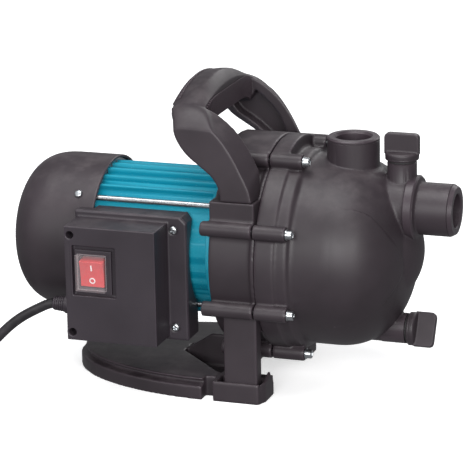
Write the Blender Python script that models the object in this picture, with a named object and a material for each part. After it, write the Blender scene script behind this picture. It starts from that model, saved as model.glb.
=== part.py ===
"""Garden jet pump: a capacitor motor, a moulded pump end, a carrying handle and a foot.

The origin is on the ground under the pump axis. X runs along the shaft towards the suction port,
Y across the pump away from the switch box, and Z up. Lengths in this file are in millimetres;
make_object() turns them into metres.
"""
import math

import bmesh
import bpy
from mathutils import Matrix, Vector

MM = 0.001
GAP = 0.3                # clearance between neighbouring pieces
PHASE = 0.31             # turns every round shape a little, so that no two facet edges coincide
AXIS_Z = 119.0           # height of the shaft
PART_X = 91.4            # parting plane of the pump body

# Pump end
BODY_R = 82.0            # bell of the casing
WALL = 4.0
FLANGE_R = 88.0
BELL_X = (145.0, 207.0)  # where the bell starts to close, and its apex
BELL_POWER = 2.3
CHAMBER_R = 78.0
NOSE_CENTRE = (170.0, 0.0, 122.0)
NOSE_RADII = (45.0, 50.0, 50.0)
PORT_R = 22.5
PORT_BORE_R = 15.0
INLET_Z = 161.0
INLET_END_X = 244.6
OUTLET_X = 153.7
OUTLET_TOP_Z = 220.6
FILL_X = 196.5
DRAIN_Z = 53.0
NECK_END = 201.0         # height of the fill neck, and reach of the drain neck
NECK_BORE_R = 9.3
BOLTS = 8
BOLT_CIRCLE_R = 92.0
BOLT_FACE_X = 120.0
BOSS_R = 6.5
BRACKET_R = 84.0
BRACKET_X = (50.0, PART_X - 0.2)
REAR_BOSS_X = 45.3
PAD_R = 97.5             # the raised pads above and below both flanges
LEG_X = (61.0, 90.3)
LEG_Y = 78.5

# Motor
HOUSING_X = (-66.0, 45.4)
HOUSING_R = 59.0
HOUSING_BORE_R = 53.0
FIN_R = 64.0
FIN_PITCH = 10.8         # degrees between fins
FIN_GROUPS = (88.5, 180.0, 268.5)
FINS_EACH_SIDE = 3
ROD_R = 2.5
ROD_CIRCLE_R = 63.0
ROD_ANGLES = (43.5, 133.5, 223.5, 313.5)
SHIELD_R = 66.5
SHAFT_R = 6.0
FAN_COVER_R = 68.4
FAN_COVER_X = (-62.5, -98.0, -148.0)   # rim, start of the dome, apex
DOME_POWER = 2.9
COVER_SCREW_ANGLES = (43, 163, 283)

# Switch box
BOX_X = (-75.0, 26.0)
BOX_Z = (48.0, 157.0)
BLOCK_X = (-72.7, 9.2)
BLOCK_Z = (51.0, 152.0)
BLOCK_FRONT_Y = -102.0
FLANGE_Y = (-69.0, -67.8)
SWITCH_X = (-64.0, -31.0)
SWITCH_Z = (93.0, 131.5)
ROCKER_TILT = 8.5        # degrees each way from level

# Foot and handle
FOOT_Z = 18.0
FOOT_LEFT = (45.0, 143.0, 82.0)        # centre x, length and half width of the half ellipse
FOOT_SLOT_X = (41.0, 51.0)
FOOT_END_X = 96.0
HANDLE_BASE_Z = 177.0
HANDLE_Y = 80.5          # outer faces of the handle's legs
GRIP_Y = 59.0            # half the width of the hand gap
GRIP_Z = 238.0           # underside of the grip
# Across the grip's rounded top: x, z in the middle, and how far it has sunk where it meets the legs
GRIP_TOP = (
    (12, 246, 8), (10, 256, 9), (10.8, 263.3, 12), (17, 267.2, 12.5), (24, 268.8, 14), (30, 269.6, 15),
    (34, 269.3, 14.5), (38.5, 265.5, 11.5), (42, 261.3, 9),
)
# The legs in side view: x and z on the inner face, then x and z on the outer face
LEG_BACK = (
    (61, 177, 61, 177), (60, 188, 59.5, 187), (53.5, 197.5, 54, 197), (44.7, 204.7, 43.9, 205.6),
    (34.6, 210.8, 35.1, 212.4), (25.5, 216.5, 28.2, 219.7), (18.5, 223, 23.1, 228), (14.5, 231, 20.8, 235),
)
LEG_FRONT = (
    (48, 249.6, 55.5, 237), (55.2, 245.6, 60, 232.5), (63.5, 239.2, 64.5, 227), (71, 231.6, 69.5, 219.5),
    (77.5, 222.6, 74.5, 211), (82.5, 214.4, 79, 202), (86.3, 206.2, 83, 194), (89.3, 198, 86.3, 186),
    (89.6, 177, 88.4, 177),
)
# Places over the top of a leg: x inside, x outside, and the drop below its crest inside and outside
LEG_CROWN = (
    (12, 21.2, 9, 2), (13, 24, 4, 0.5), (25, 30, 0.3, 0), (34, 42, 0.3, 0.2), (42, 52, 3.1, 1),
)
POCKET = (
    (77, 198), (73.5, 207), (69, 218), (62, 227), (54, 234.5), (46, 241), (44.6, 236), (40, 231),
    (28, 228), (26, 226), (31, 220), (39, 215), (48, 209), (57, 201.5), (62, 197.5),
)
POCKET_END_Y = 70.0

# Mains cord
CORD_R = 4.4
CORD_EXIT = (-99.0, -66.0, 70.3)
COIL_CENTRE = (-238.0, -24.0)
COIL_R = (37.2, 56.0)                  # innermost and outermost turn, at the cord's middle
CORD_ROUTE = (
    (-99.0, -66.0, 70.3), (-105.5, -66.2, 68.4), (-112.4, -66.6, 65.0), (-121.7, -67.2, 60.0),
    (-131.1, -68.0, 54.1), (-140.5, -69.0, 46.6), (-149.9, -70.2, 37.4), (-159.0, -71.6, 27.8),
    (-168.5, -73.2, 18.6), (-178.5, -75.2, 11.2), (-189.0, -77.4, 6.6), (-198.0, -79.0, 4.9),
    (-205.0, -79.8, 4.6),
)
TAIL_ROUTE = (
    (-294.0, 9.5, 13.6), (-293.6, 16.0, 14.4), (-292.4, 24.0, 15.8), (-290.6, 32.0, 17.4),
    (-288.6, 39.6, 18.2),
)


def clear_scene():
    for old in list(bpy.data.objects):
        bpy.data.objects.remove(old, do_unlink=True)


def paint(name, colour, roughness, metallic=0.0, alpha=1.0):
    """A plain finish: colour is given as screen values from 0 to 255."""
    material = bpy.data.materials.new(name)
    material.use_nodes = True
    shader = material.node_tree.nodes["Principled BSDF"]
    linear = [(c / 255 / 12.92) if c < 11 else ((c / 255 + 0.055) / 1.055) ** 2.4 for c in colour]
    shader.inputs["Base Color"].default_value = (*linear, 1)
    shader.inputs["Roughness"].default_value = roughness
    shader.inputs["Metallic"].default_value = metallic
    shader.inputs["Alpha"].default_value = alpha
    return material


def make_object(name, bm, material=None, origin=(0, 0, 0)):
    """Turns a shape in millimetres into an object whose own origin is at the given point."""
    bmesh.ops.recalc_face_normals(bm, faces=bm.faces)
    if bm.calc_volume(signed=True) < 0:
        bmesh.ops.reverse_faces(bm, faces=bm.faces)
    bm.transform(Matrix.Scale(MM, 4) @ Matrix.Translation(-Vector(origin)))
    mesh = bpy.data.meshes.new(name)
    bm.to_mesh(mesh)
    bm.free()
    mesh.shade_smooth()
    mesh.set_sharp_from_angle(angle=math.radians(32))
    if material:
        mesh.materials.append(material)
    made = bpy.data.objects.new(name, mesh)
    made.location = Vector(origin) * MM
    bpy.context.scene.collection.objects.link(made)
    return made


def on_axis(axis, along, u, v):
    """A point from its place along an axis and its two places across it."""
    return {"X": (along, u, v), "Y": (u, along, v), "Z": (u, v, along)}[axis]


def lathe(name, profile, axis="X", centre=(0, 0, 0), steps=24, material=None, origin=(0, 0, 0)):
    """Turns (place along the axis, radius) points round the axis. Without ends on the axis it is a ring."""
    bm = bmesh.new()
    rings = []
    for along, radius in profile:
        if radius == 0:
            rings.append([bm.verts.new(on_axis(axis, along, 0, 0))])
            continue
        turn = [math.tau * (i + PHASE) / steps for i in range(steps)]
        rings.append([bm.verts.new(on_axis(axis, along, radius * math.cos(a), radius * math.sin(a)))
                      for a in turn])
    pairs = list(zip(rings, rings[1:]))
    if profile[0][1] and profile[-1][1]:
        pairs.append((rings[-1], rings[0]))
    for first, second in pairs:
        for i in range(steps):
            j = (i + 1) % steps
            ends = [first[i % len(first)], first[j % len(first)],
                    second[j % len(second)], second[i % len(second)]]
            bm.faces.new(list(dict.fromkeys(ends)))
    bm.transform(Matrix.Translation(Vector(centre)))
    return make_object(name, bm, material, origin)


def rod(name, radius, lo, hi, axis="X", centre=(0, 0, 0), steps=16, material=None):
    return lathe(name, [(lo, 0), (lo, radius), (hi, radius), (hi, 0)], axis, centre, steps, material)


def ring(name, inner, outer, lo, hi, axis="X", centre=(0, 0, 0), steps=24, material=None):
    profile = [(lo, inner), (lo, outer), (hi, outer), (hi, inner)]
    return lathe(name, profile, axis, centre, steps, material)


def prism(name, outline, lo, hi, axis="Z", material=None, origin=(0, 0, 0)):
    """Extrudes a flat outline along an axis."""
    bm = bmesh.new()
    low = [bm.verts.new(on_axis(axis, lo, u, v)) for u, v in outline]
    high = [bm.verts.new(on_axis(axis, hi, u, v)) for u, v in outline]
    bm.faces.new(low)
    bm.faces.new(high)
    for i in range(len(outline)):
        j = (i + 1) % len(outline)
        bm.faces.new((low[i], low[j], high[j], high[i]))
    return make_object(name, bm, material, origin)


def block(name, x, y, z, material=None):
    outline = [(x[0], y[0]), (x[1], y[0]), (x[1], y[1]), (x[0], y[1])]
    return prism(name, outline, z[0], z[1], "Z", material)


def ellipsoid(name, centre, radii, material=None):
    bm = bmesh.new()
    bmesh.ops.create_uvsphere(bm, u_segments=32, v_segments=18, radius=1)
    place = Matrix.Translation(Vector(centre)) @ Matrix.Diagonal((*radii, 1))
    bm.transform(place @ Matrix.Rotation(PHASE / 6, 4, "X") @ Matrix.Rotation(math.pi / 2, 4, "Y"))
    return make_object(name, bm, material)


def shape(base, join=(), cut=(), meet=()):
    """Joins, cuts and intersects the base with other solids, which are used up."""
    steps = [("UNION", join), ("DIFFERENCE", cut), ("INTERSECT", meet)]
    for operation, others in steps:
        for other in others:
            modifier = base.modifiers.new(operation, "BOOLEAN")
            modifier.operation = operation
            modifier.solver = "MANIFOLD"
            modifier.object = other
    graph = bpy.context.evaluated_depsgraph_get()
    shaped = bpy.data.meshes.new_from_object(base.evaluated_get(graph))
    base.modifiers.clear()
    base.data = shaped
    shaped.shade_smooth()
    shaped.set_sharp_from_angle(angle=math.radians(32))
    for _, others in steps:
        for other in others:
            bpy.data.objects.remove(other, do_unlink=True)
    return base


def polar(angle, radius):
    """Y and Z of a point round the shaft; 0 degrees is towards the switch box and 90 is up."""
    t = math.radians(angle)
    return -radius * math.cos(t), AXIS_Z + radius * math.sin(t)


def oval_quarter(centre_x, reach, radius, power, steps):
    """A profile that closes from the radius to nothing over the reach, like a rounded dome."""
    points = []
    for i in range(1, steps + 1):
        t = math.pi / 2 * i / steps
        along = centre_x + reach * math.sin(t) ** (2 / power)
        points.append((along, 0 if i == steps else radius * math.cos(t) ** (2 / power)))
    return points


def sector(name, angle, half_width, radii, x, material=None):
    """A curved pad between two radii round the shaft."""
    turns = [angle - half_width + half_width * i / 4 for i in range(9)]
    outline = [polar(t, radii[0]) for t in turns] + [polar(t, radii[1]) for t in reversed(turns)]
    return prism(name, outline, x[0], x[1], "X", material)


def curve_through(points, steps):
    """Smooth points through the given ones, as a Catmull-Rom curve."""
    knots = [Vector(p) for p in points]
    knots = [2 * knots[0] - knots[1], *knots, 2 * knots[-1] - knots[-2]]
    made = []
    for a, b, c, d in zip(knots, knots[1:], knots[2:], knots[3:]):
        for i in range(steps):
            t = i / steps
            made.append(0.5 * (2 * b + (c - a) * t + (2 * a - 5 * b + 4 * c - d) * t * t
                               + (3 * b - a - 3 * c + d) * t ** 3))
    return [*made, knots[-2]]


def cord(name, route, material):
    """A round cable along a route, as a bevelled curve with closed ends."""
    points = curve_through(route, 2)
    data = bpy.data.curves.new(name, "CURVE")
    data.dimensions = "3D"
    data.bevel_depth = CORD_R * MM
    data.bevel_resolution = 3
    data.use_fill_caps = True
    data.materials.append(material)
    spline = data.splines.new("POLY")
    spline.points.add(len(points) - 1)
    for place, point in zip(spline.points, points):
        place.co = (*(point * MM), 1)
    made = bpy.data.objects.new(name, data)
    bpy.context.scene.collection.objects.link(made)
    return made


def bolt_places():
    return [(i + 1, polar(22.5 + 45 * i, BOLT_CIRCLE_R)) for i in range(BOLTS)]


# ---- Pump end ----------------------------------------------------------------------------------

def pump_casing(material):
    """Bell with its ports, hollow throughout, open at the parting plane."""
    front = PART_X + 0.2
    bell = [(front, 0), (front, FLANGE_R), (108.6, FLANGE_R), (109.4, 86), (118.6, 86), (121, BODY_R),
            (BELL_X[0], BODY_R), *oval_quarter(BELL_X[0], BELL_X[1] - BELL_X[0], BODY_R, BELL_POWER, 10)]
    casing = lathe("pump_casing", bell, centre=(0, 0, AXIS_Z), steps=48, material=material)
    inlet = [(150, 0), (150, 26.5), (204.5, 26.5), (205, 27.8), (211, 27.8), (212, PORT_R),
             (INLET_END_X - 3.6, PORT_R), (INLET_END_X, 20.5), (INLET_END_X, 0)]
    outlet = [(150, 0), (150, 28), (191, 28), (195, PORT_R), (OUTLET_TOP_Z - 1.4, PORT_R),
              (OUTLET_TOP_Z, 21.2), (OUTLET_TOP_Z, 0)]
    join = [
        ellipsoid("nose", NOSE_CENTRE, NOSE_RADII),
        lathe("inlet", inlet, centre=(0, 0, INLET_Z), steps=28),
        lathe("outlet", outlet, "Z", (OUTLET_X, 0, 0), 28),
        rod("fill_neck", 12.3, 160, NECK_END, "Z", (FILL_X, 0, 0), 20),
        rod("drain_neck", 13, 150, NECK_END, "X", (0, 0, DRAIN_Z), 20),
    ]
    join += [sector(f"pad{t}", t, 22.5, (84, PAD_R), (front, 108)) for t in (90, 270)]
    cut = []
    for i, (y, z) in bolt_places():
        join.append(rod(f"boss{i}", BOSS_R, front, BOLT_FACE_X, "X", (0, y, z), 14))
        cut.append(rod(f"hole{i}", 2.3, front - 1, BOLT_FACE_X + 1, "X", (0, y, z), 10))
    chamber = [(front - 1, 0), (front - 1, CHAMBER_R), (BELL_X[0], CHAMBER_R),
               *oval_quarter(BELL_X[0], BELL_X[1] - BELL_X[0] - WALL, CHAMBER_R, BELL_POWER, 8)]
    cut += [
        lathe("chamber", chamber, centre=(0, 0, AXIS_Z), steps=40),
        ellipsoid("nose_room", NOSE_CENTRE, [r - WALL for r in NOSE_RADII]),
        rod("inlet_bore", PORT_BORE_R - 0.5, 160, INLET_END_X + 5, "X", (0, 0, INLET_Z), 24),
        rod("outlet_bore", PORT_BORE_R, 171.3, OUTLET_TOP_Z + 5, "Z", (OUTLET_X, 0, 0), 24),
        rod("fill_bore", NECK_BORE_R, INLET_Z + 3.1, NECK_END + 5, "Z", (FILL_X, 0, 0), 16),
        rod("drain_bore", NECK_BORE_R, 167.7, NECK_END + 5, "X", (0, 0, DRAIN_Z), 16),
        ring("groove", 80.5, 84.5, front - 1, front + 2.7, centre=(0, 0, AXIS_Z), steps=40),
    ]
    return shape(casing, join, cut)


def motor_bracket(material):
    """Rear half of the pump body, with its wall to the motor, its two legs and the handle's ears."""
    back, front = BRACKET_X
    outer = [(back, 0), (back, BRACKET_R), (87.4, BRACKET_R), (88, 86), (front, 86), (front, 0)]
    bracket = lathe("motor_bracket", outer, centre=(0, 0, AXIS_Z), steps=48, material=material)
    join = [sector(f"pad{t}", t, 22.5, (80.6, PAD_R), (back + 0.6, front - 0.4)) for t in (90, 270)]
    cut = [rod("chamber", CHAMBER_R, 56, front + 1, "X", (0, 0, AXIS_Z), 40),
           rod("seal_bore", 13, back - 1, 57, "X", (0, 0, AXIS_Z), 20)]
    for side in (-1, 1):
        outward = sorted((side * 65.2, side * LEG_Y))
        ear = sorted((side * 62, side * HANDLE_Y))
        join.append(block(f"leg{side}", LEG_X, outward, (6 + GAP, 84.7)))
        join.append(block(f"ear{side}", (61, 89), ear, (148, HANDLE_BASE_Z - GAP)))
        cut.append(rod(f"leg_hole{side}", 2.3, 5, 17, "Z", (76, side * 72, 0), 10))
    for i, (y, z) in bolt_places():
        join.append(rod(f"boss{i}", BOSS_R, REAR_BOSS_X, front - 0.2, "X", (0, y, z), 14))
        cut.append(rod(f"hole{i}", 2.3, 58, front + 1, "X", (0, y, z), 10))
    return shape(bracket, join, cut)


def casing_bolts(material):
    for i, (y, z) in bolt_places():
        profile = [(59, 0), (59, 1.9), (BOLT_FACE_X + GAP, 1.9), (BOLT_FACE_X + GAP, 4),
                   (126, 4), (126, 2.1), (123.5, 2.1), (123.5, 0)]
        lathe(f"casing_bolt_{i}", profile, "X", (0, y, z), 12, material)


def plug(name, centre, axis, turn, material):
    """Screw plug with a flat wing, its origin on its own axis at the neck's end."""
    collar, stem = 203.0, 190.0
    profile = [(stem, 0), (stem, 8.6), (collar, 8.6), (collar, 14.5), (209, 14.5), (209.6, 13.6), (209.6, 0)]
    body = lathe(name, profile, axis, centre, 20, material)
    corner = [(15 - 4 + 4 * math.cos(a), 221.5 + 4 * math.sin(a))
              for a in [math.pi / 2 * k / 3 for k in range(4)]]
    outline = [(15, 208), *corner, *[(-u, v) for u, v in reversed(corner)], (-15, 208)]
    wing = prism("wing", outline, -3.3, 3.3, "Y")
    turned = Matrix.Rotation(math.pi / 2, 4, "Y") if axis == "X" else Matrix.Identity(4)
    wing.data.transform(Matrix.Translation(Vector(centre) * MM)
                        @ Matrix.Rotation(math.radians(turn), 4, axis) @ turned)
    made = shape(body, [wing])
    pivot = Vector(on_axis(axis, NECK_END, 0, 0)) + Vector(centre)
    made.data.transform(Matrix.Translation(-pivot * MM))
    made.location = pivot * MM
    return made


def plugs(plastic, rubber):
    plug("fill_plug", (FILL_X, 0, 0), "Z", 0, plastic)
    plug("drain_plug", (0, 0, DRAIN_Z), "X", -29, plastic)
    seat = (NECK_END + GAP, NECK_END + 2 - GAP)
    ring("fill_plug_gasket", 9, 12, *seat, "Z", (FILL_X, 0, 0), 20, rubber)
    ring("drain_plug_gasket", 9, 12, *seat, "X", (0, 0, DRAIN_Z), 20, rubber)


def impeller(material):
    """Back plate with a hub and six swept vanes."""
    profile = [(69, SHAFT_R + GAP), (69, 14), (71, 14), (71, 62), (74, 62), (75, 16), (84, 13),
               (84, SHAFT_R + GAP)]
    wheel = lathe("impeller", profile, centre=(0, 0, AXIS_Z), steps=36, material=material)
    vanes = []
    for k in range(6):
        inner, outer = [], []
        for i in range(6):
            radius = 15 + 45.5 * i / 5
            for edge, side in ((inner, -1), (outer, 1)):
                edge.append(polar(60 * k + 9 * i + side * 70 / radius, radius))
        vanes.append(prism(f"vane{k}", inner + outer[::-1], 73, 81, "X"))
    return shape(wheel, vanes)


def pump_internals(finish):
    axis = (0, 0, AXIS_Z)
    ring("casing_gasket", 80.8, 84.2, PART_X + 0.1, PART_X + 2.5, "X", axis, 40, finish["rubber"])
    ring("seal_seat", 7.5, 12.7, 50.4, 55.6, "X", axis, 20, finish["ceramic"])
    ring("seal_rotating_ring", SHAFT_R + GAP, 12, 55.9, 68.5, "X", axis, 20, finish["carbon"])
    impeller(finish["brass"])
    plate = [(85, 15), (85, 77.6), (90.4, 77.6), (90.4, 50), (96, 30), (96, 15)]
    lathe("diffuser", plate, centre=axis, steps=36, material=finish["inner"])
    nozzle = [(96.3, 16), (96.3, 26), (104, 26), (112, 20), (150, 15), (190, 13), (190, 9), (150, 8),
              (120, 10)]
    lathe("jet_nozzle", nozzle, centre=axis, steps=24, material=finish["inner"])


# ---- Motor -------------------------------------------------------------------------------------

def rod_holes(radius, x):
    made = []
    for angle in ROD_ANGLES:
        y, z = polar(angle, ROD_CIRCLE_R)
        made.append(rod(f"rod_hole{angle}", radius, x[0], x[1], "X", (0, y, z), 12))
    return made


def motor_housing(material):
    """Tube with fins along it above, behind and below, and a round collar at each end."""
    lo, hi = HOUSING_X
    axis = (0, 0, AXIS_Z)
    tube = ring("motor_housing", HOUSING_BORE_R, HOUSING_R, lo, hi, "X", axis, 60, material)
    join = [ring("rear_collar", 56, FIN_R, lo, lo + 5, "X", axis, 60),
            ring("front_collar", 56, FIN_R, hi - 5, hi, "X", axis, 60)]
    half = math.degrees(1.4 / FIN_R)
    for middle in FIN_GROUPS:
        for k in range(-FINS_EACH_SIDE, FINS_EACH_SIDE + 1):
            t = middle + FIN_PITCH * k
            outline = [polar(t - 1.3 * half, 57), polar(t - half, FIN_R - 0.4),
                       polar(t + half, FIN_R - 0.4), polar(t + 1.3 * half, 57)]
            join.append(prism(f"fin{t:.0f}", outline, lo + 3, hi - 3, "X"))
    return shape(tube, join, rod_holes(ROD_R + 0.4, (lo - 1, hi + 1)))


def end_shields(material):
    axis = (0, 0, AXIS_Z)
    bearing = 16.3
    spigot, rim = HOUSING_BORE_R - GAP, HOUSING_X[1] + GAP
    front = [(40.3, bearing), (40.3, spigot), (rim, spigot), (rim, SHIELD_R), (49.6, SHIELD_R), (49.6, 8),
             (48.8, 8), (48.8, bearing)]
    made = lathe("motor_front_shield", front, centre=axis, steps=48, material=material)
    shape(made, cut=rod_holes(ROD_R + 0.4, (39, 50.6)))
    rear = [(-70, 8), (-70, SHIELD_R - 1), (-66.3, SHIELD_R - 1), (-66.3, 21), (-57, 21), (-57, bearing),
            (-67.8, bearing), (-67.8, 8)]
    made = lathe("motor_rear_shield", rear, centre=axis, steps=48, material=material)
    tabs = [sector(f"tab{t}", t, 6, (58, 65.6), (-87, -69)) for t in COVER_SCREW_ANGLES]
    holes = [radial_hole(t, 56, 67) for t in COVER_SCREW_ANGLES]
    return shape(made, tabs, rod_holes(ROD_R + 0.4, (-71, -65)) + holes)


def radial_hole(angle, inner, outer):
    return spoke(f"screw_hole{angle}", [(inner, 0), (inner, 1.9), (outer, 1.9), (outer, 0)], angle)


def spoke(name, profile, angle, material=None):
    """A turned piece whose axis points outwards from the shaft, for the fan cover's screws."""
    made = lathe(name, profile, "Y", (0, 0, 0), 12, material)
    place = (Matrix.Translation(Vector((-79, 0, AXIS_Z)) * MM)
             @ Matrix.Rotation(math.radians(180 - angle), 4, "X"))
    made.data.transform(place)
    return made


def fan_cover(plastic, steel):
    """Deep rounded cowl, open at the front, with air slots round its back."""
    rim, dome, apex = FAN_COVER_X
    inner = FAN_COVER_R - 2.4
    outside = [(rim, FAN_COVER_R), (dome + 4, FAN_COVER_R), (dome + 3, 67.6), (dome, 67.4)]
    outside += cowl_end(dome, apex, 67.4, 10)
    inside = [(rim, inner), (dome, inner), *cowl_end(dome, apex + 2.4, inner - 0.8, 8)]
    cover = shell_of_revolution("fan_cover", outside, inside, plastic)
    slots = []
    for k in range(12):
        t = math.radians(30 * k)
        slot = block(f"slot{k}", (-170, -128), (-2.2, 2.2), (17, 40))
        slot.data.transform(Matrix.Translation(Vector((0, 0, AXIS_Z)) * MM) @ Matrix.Rotation(t, 4, "X"))
        slots.append(slot)
    holes = [radial_hole(t, 62, 72) for t in COVER_SCREW_ANGLES]
    shape(cover, cut=slots + holes)
    head = [(60, 0), (60, 1.5), (FAN_COVER_R + GAP, 1.5), (FAN_COVER_R + GAP, 3.6), (70.6, 3.2), (70.6, 0)]
    for i, t in enumerate(COVER_SCREW_ANGLES):
        spoke(f"fan_cover_screw_{i + 1}", head, t, steel)
    return cover


def cowl_end(start, apex, radius, steps):
    return [(-x, r) for x, r in oval_quarter(-start, start - apex, radius, DOME_POWER, steps)]


def shell_of_revolution(name, outside, inside, material):
    """A domed shell from its outer and inner profile, each from the rim to the axis."""
    axis = (0, 0, AXIS_Z)
    rim = outside[0][0]
    solid = lathe(name, [(rim, 0), *outside], centre=axis, steps=48, material=material)
    room = lathe("room", [(rim + 1, 0), (rim + 1, inside[0][1]), *inside[1:]], centre=axis, steps=40)
    return shape(solid, cut=[room])


def cooling_fan(material):
    hub = ring("cooling_fan", SHAFT_R + GAP, 13, -108, -88, "X", (0, 0, AXIS_Z), 24, material)
    blades = []
    for k in range(7):
        t = math.radians(360 / 7 * k)
        blade = block(f"blade{k}", (-106, -90), (-1.2, 1.2), (11, 55))
        blade.data.transform(Matrix.Translation(Vector((0, 0, AXIS_Z)) * MM) @ Matrix.Rotation(t, 4, "X"))
        blades.append(blade)
    return shape(hub, blades)


def motor_internals(finish):
    axis = (0, 0, AXIS_Z)
    shaft = [(-112, 0), (-112, 5.4), (-111, SHAFT_R), (92, SHAFT_R), (93, 5.4), (93, 0)]
    lathe("motor_shaft", shaft, centre=axis, steps=20, material=finish["steel"])
    ring("rotor_core", SHAFT_R + GAP, 33.5, -40, 15, "X", axis, 36, finish["lamination"])
    ring("stator_core", 34.2, HOUSING_BORE_R - GAP, -40, 15, "X", axis, 48, finish["lamination"])
    coil = [(0, 37), (0, 49), (4, 51), (12, 50), (15, 46), (15, 40), (10, 37)]
    for name, start, way in (("winding_front", 15 + GAP, 1), ("winding_rear", -40 - GAP, -1)):
        profile = [(start + way * x, r) for x, r in coil]
        lathe(name, profile, centre=axis, steps=32, material=finish["copper"])
    for name, x in (("bearing_front", 40.5), ("bearing_rear", -67.4)):
        ring(name, SHAFT_R + GAP, 16, x, x + 8, "X", axis, 24, finish["steel"])
    for i, angle in enumerate(ROD_ANGLES):
        y, z = polar(angle, ROD_CIRCLE_R)
        rod(f"tie_rod_{i + 1}", ROD_R, -69.7, 49.4, "X", (0, y, z), 12, finish["steel"])
    cooling_fan(finish["inner"])


# ---- Switch box --------------------------------------------------------------------------------

def motor_clearance():
    """What the switch box has to leave free round the motor."""
    axis = (0, 0, AXIS_Z)
    return [rod("barrel_room", 62, -90, 60, "X", axis, 48), rod("rear_room", 69, -90, -61, "X", axis, 48)]


def terminal_box(finish):
    """Base on the motor, and a deep cover with the switch let into its front."""
    x, z = BOX_X, BOX_Z
    bevel = 9
    outline = [(x[0], z[0]), (x[1], z[0]), (x[1], z[1] - bevel), (x[1] - bevel, z[1]), (x[0], z[1])]
    base = prism("terminal_box_base", outline, -67.5, -43, "Y", finish["box"])
    room = block("room", (-58, 20), (-70, -47), (54, 150))
    shape(room, cut=[rod("bulge", 65, -90, 60, "X", (0, 0, AXIS_Z), 48)])
    shape(base, cut=motor_clearance() + [room] + rod_holes(ROD_R + 0.7, (-80, 60)))
    cover = prism("terminal_box_cover", outline, *FLANGE_Y, "Y", finish["box"])
    shell = block("shell", BLOCK_X, (BLOCK_FRONT_Y, -68), BLOCK_Z)
    pocket = block("pocket", (BLOCK_X[0] + 3, BLOCK_X[1] - 3), (-99, -60), (BLOCK_Z[0] + 3, BLOCK_Z[1] - 3))
    recess = block("recess", (-66, -26.5), (-110, -97.4), (91, 135.5))
    opening = block("opening", (-62.3, -33.7), (-110, -90), (94.7, 129.8))
    posts, cuts = [], []
    for x_post, z_post in ((-67.5, 144.3), (-67.5, 57.8)):
        posts.append(rod(f"post{z_post}", 5.4, -101, -68, "Y", (x_post, 0, z_post), 16))
        cuts.append(rod(f"well{z_post}", 3.4, -110, -72, "Y", (x_post, 0, z_post), 14))
    wall = block("recess_wall", (-68, -24.5), (-99.5, -95.4), (89, 137.5))
    shape(cover, [shell], [pocket])
    shape(cover, posts + [wall], [recess, opening] + cuts + cover_screw_holes()
          + [rod("fan_room", 69, -90, -69.4, "X", (0, 0, AXIS_Z), 48)])
    seat = FLANGE_Y[0] - GAP
    head = [(-71.3, 0), (-71.3, 3.2), (seat, 3.6), (seat, 1.5), (-60.5, 1.5), (-60.5, 0)]
    for i, z_screw in enumerate((145.7, 59.1)):
        lathe(f"cover_screw_{i + 1}", head, "Y", (14.5, 0, z_screw), 12, finish["steel"])
    rod("run_capacitor", 13.5, -58, 0, "X", (0, -84, 70), 24, finish["capacitor"])


def cover_screw_holes():
    return [rod(f"screw{z}", 1.9, -75, -60, "Y", (14.5, 0, z), 10) for z in (145.7, 59.1)]


def switch(finish):
    """Two-pole rocker switch under a clear splash boot."""
    mid_x, mid_z = sum(SWITCH_X) / 2, sum(SWITCH_Z) / 2
    housing = block("switch_housing", SWITCH_X, (-100.2, -97.7), SWITCH_Z, finish["box"])
    body = block("body", (-62, -34), (-98, -74), (95, 129.5))
    well = block("well", (-58.6, -37.4), (-110, -84), (98.6, 125.9))
    shape(housing, [body], [well])
    pivot = Vector((mid_x, -92.0, mid_z))
    outline = [(-9.2 - 0.0075 * z * z, z) for z in [1.93 * k for k in range(-6, 7)]]
    outline += [(4.5, 11.4), (4.5, -11.4)]
    rocker = prism("switch_rocker", outline, -9.6, 9.6, "X", finish["red"])
    rocker.data.transform(Matrix.Rotation(math.radians(ROCKER_TILT), 4, "X"))
    rocker.location = pivot * MM
    boot = block("switch_boot", (-62, -34.6), (-106.4, -100.5), (96.2, 128.2), finish["boot"])
    inside = block("boot_room", (-60.8, -35.8), (-105.4, -99), (97.4, 127))
    shape(boot, cut=[inside])


def cable_entry(finish):
    y, z = CORD_EXIT[1], CORD_EXIT[2]
    hollow = CORD_R + GAP
    seat = BOX_X[0] - GAP
    profile = [(-98.6, hollow), (-98.6, 6.1), (-88, 6.9), (-88, 8.2), (-82, 8.2), (-82, 7.2),
               (seat, 7.2), (seat, hollow)]
    lathe("cable_gland", profile, "X", (0, y, z), 20, finish["box"])


# ---- Foot and handle ---------------------------------------------------------------------------

def foot_arc(inset):
    """Half ellipse under the motor."""
    centre, length, half = FOOT_LEFT
    turns = [math.pi / 2 + math.pi * i / 24 for i in range(25)]
    return [(centre + (length - inset) * math.cos(t), (half - inset) * math.sin(t)) for t in turns]


def foot_outline(inset):
    """The half ellipse, then straight sides to the two blocks that hold the legs."""
    end, side = FOOT_END_X - inset, FOOT_LEFT[2] - inset
    return [(end, 50 + inset), (end, 72 - inset), (92 - inset, side), *foot_arc(inset), (92 - inset, -side),
            (end, inset - 72), (end, -50 - inset), (57 - inset, -46), (57 - inset, 46)]


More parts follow.
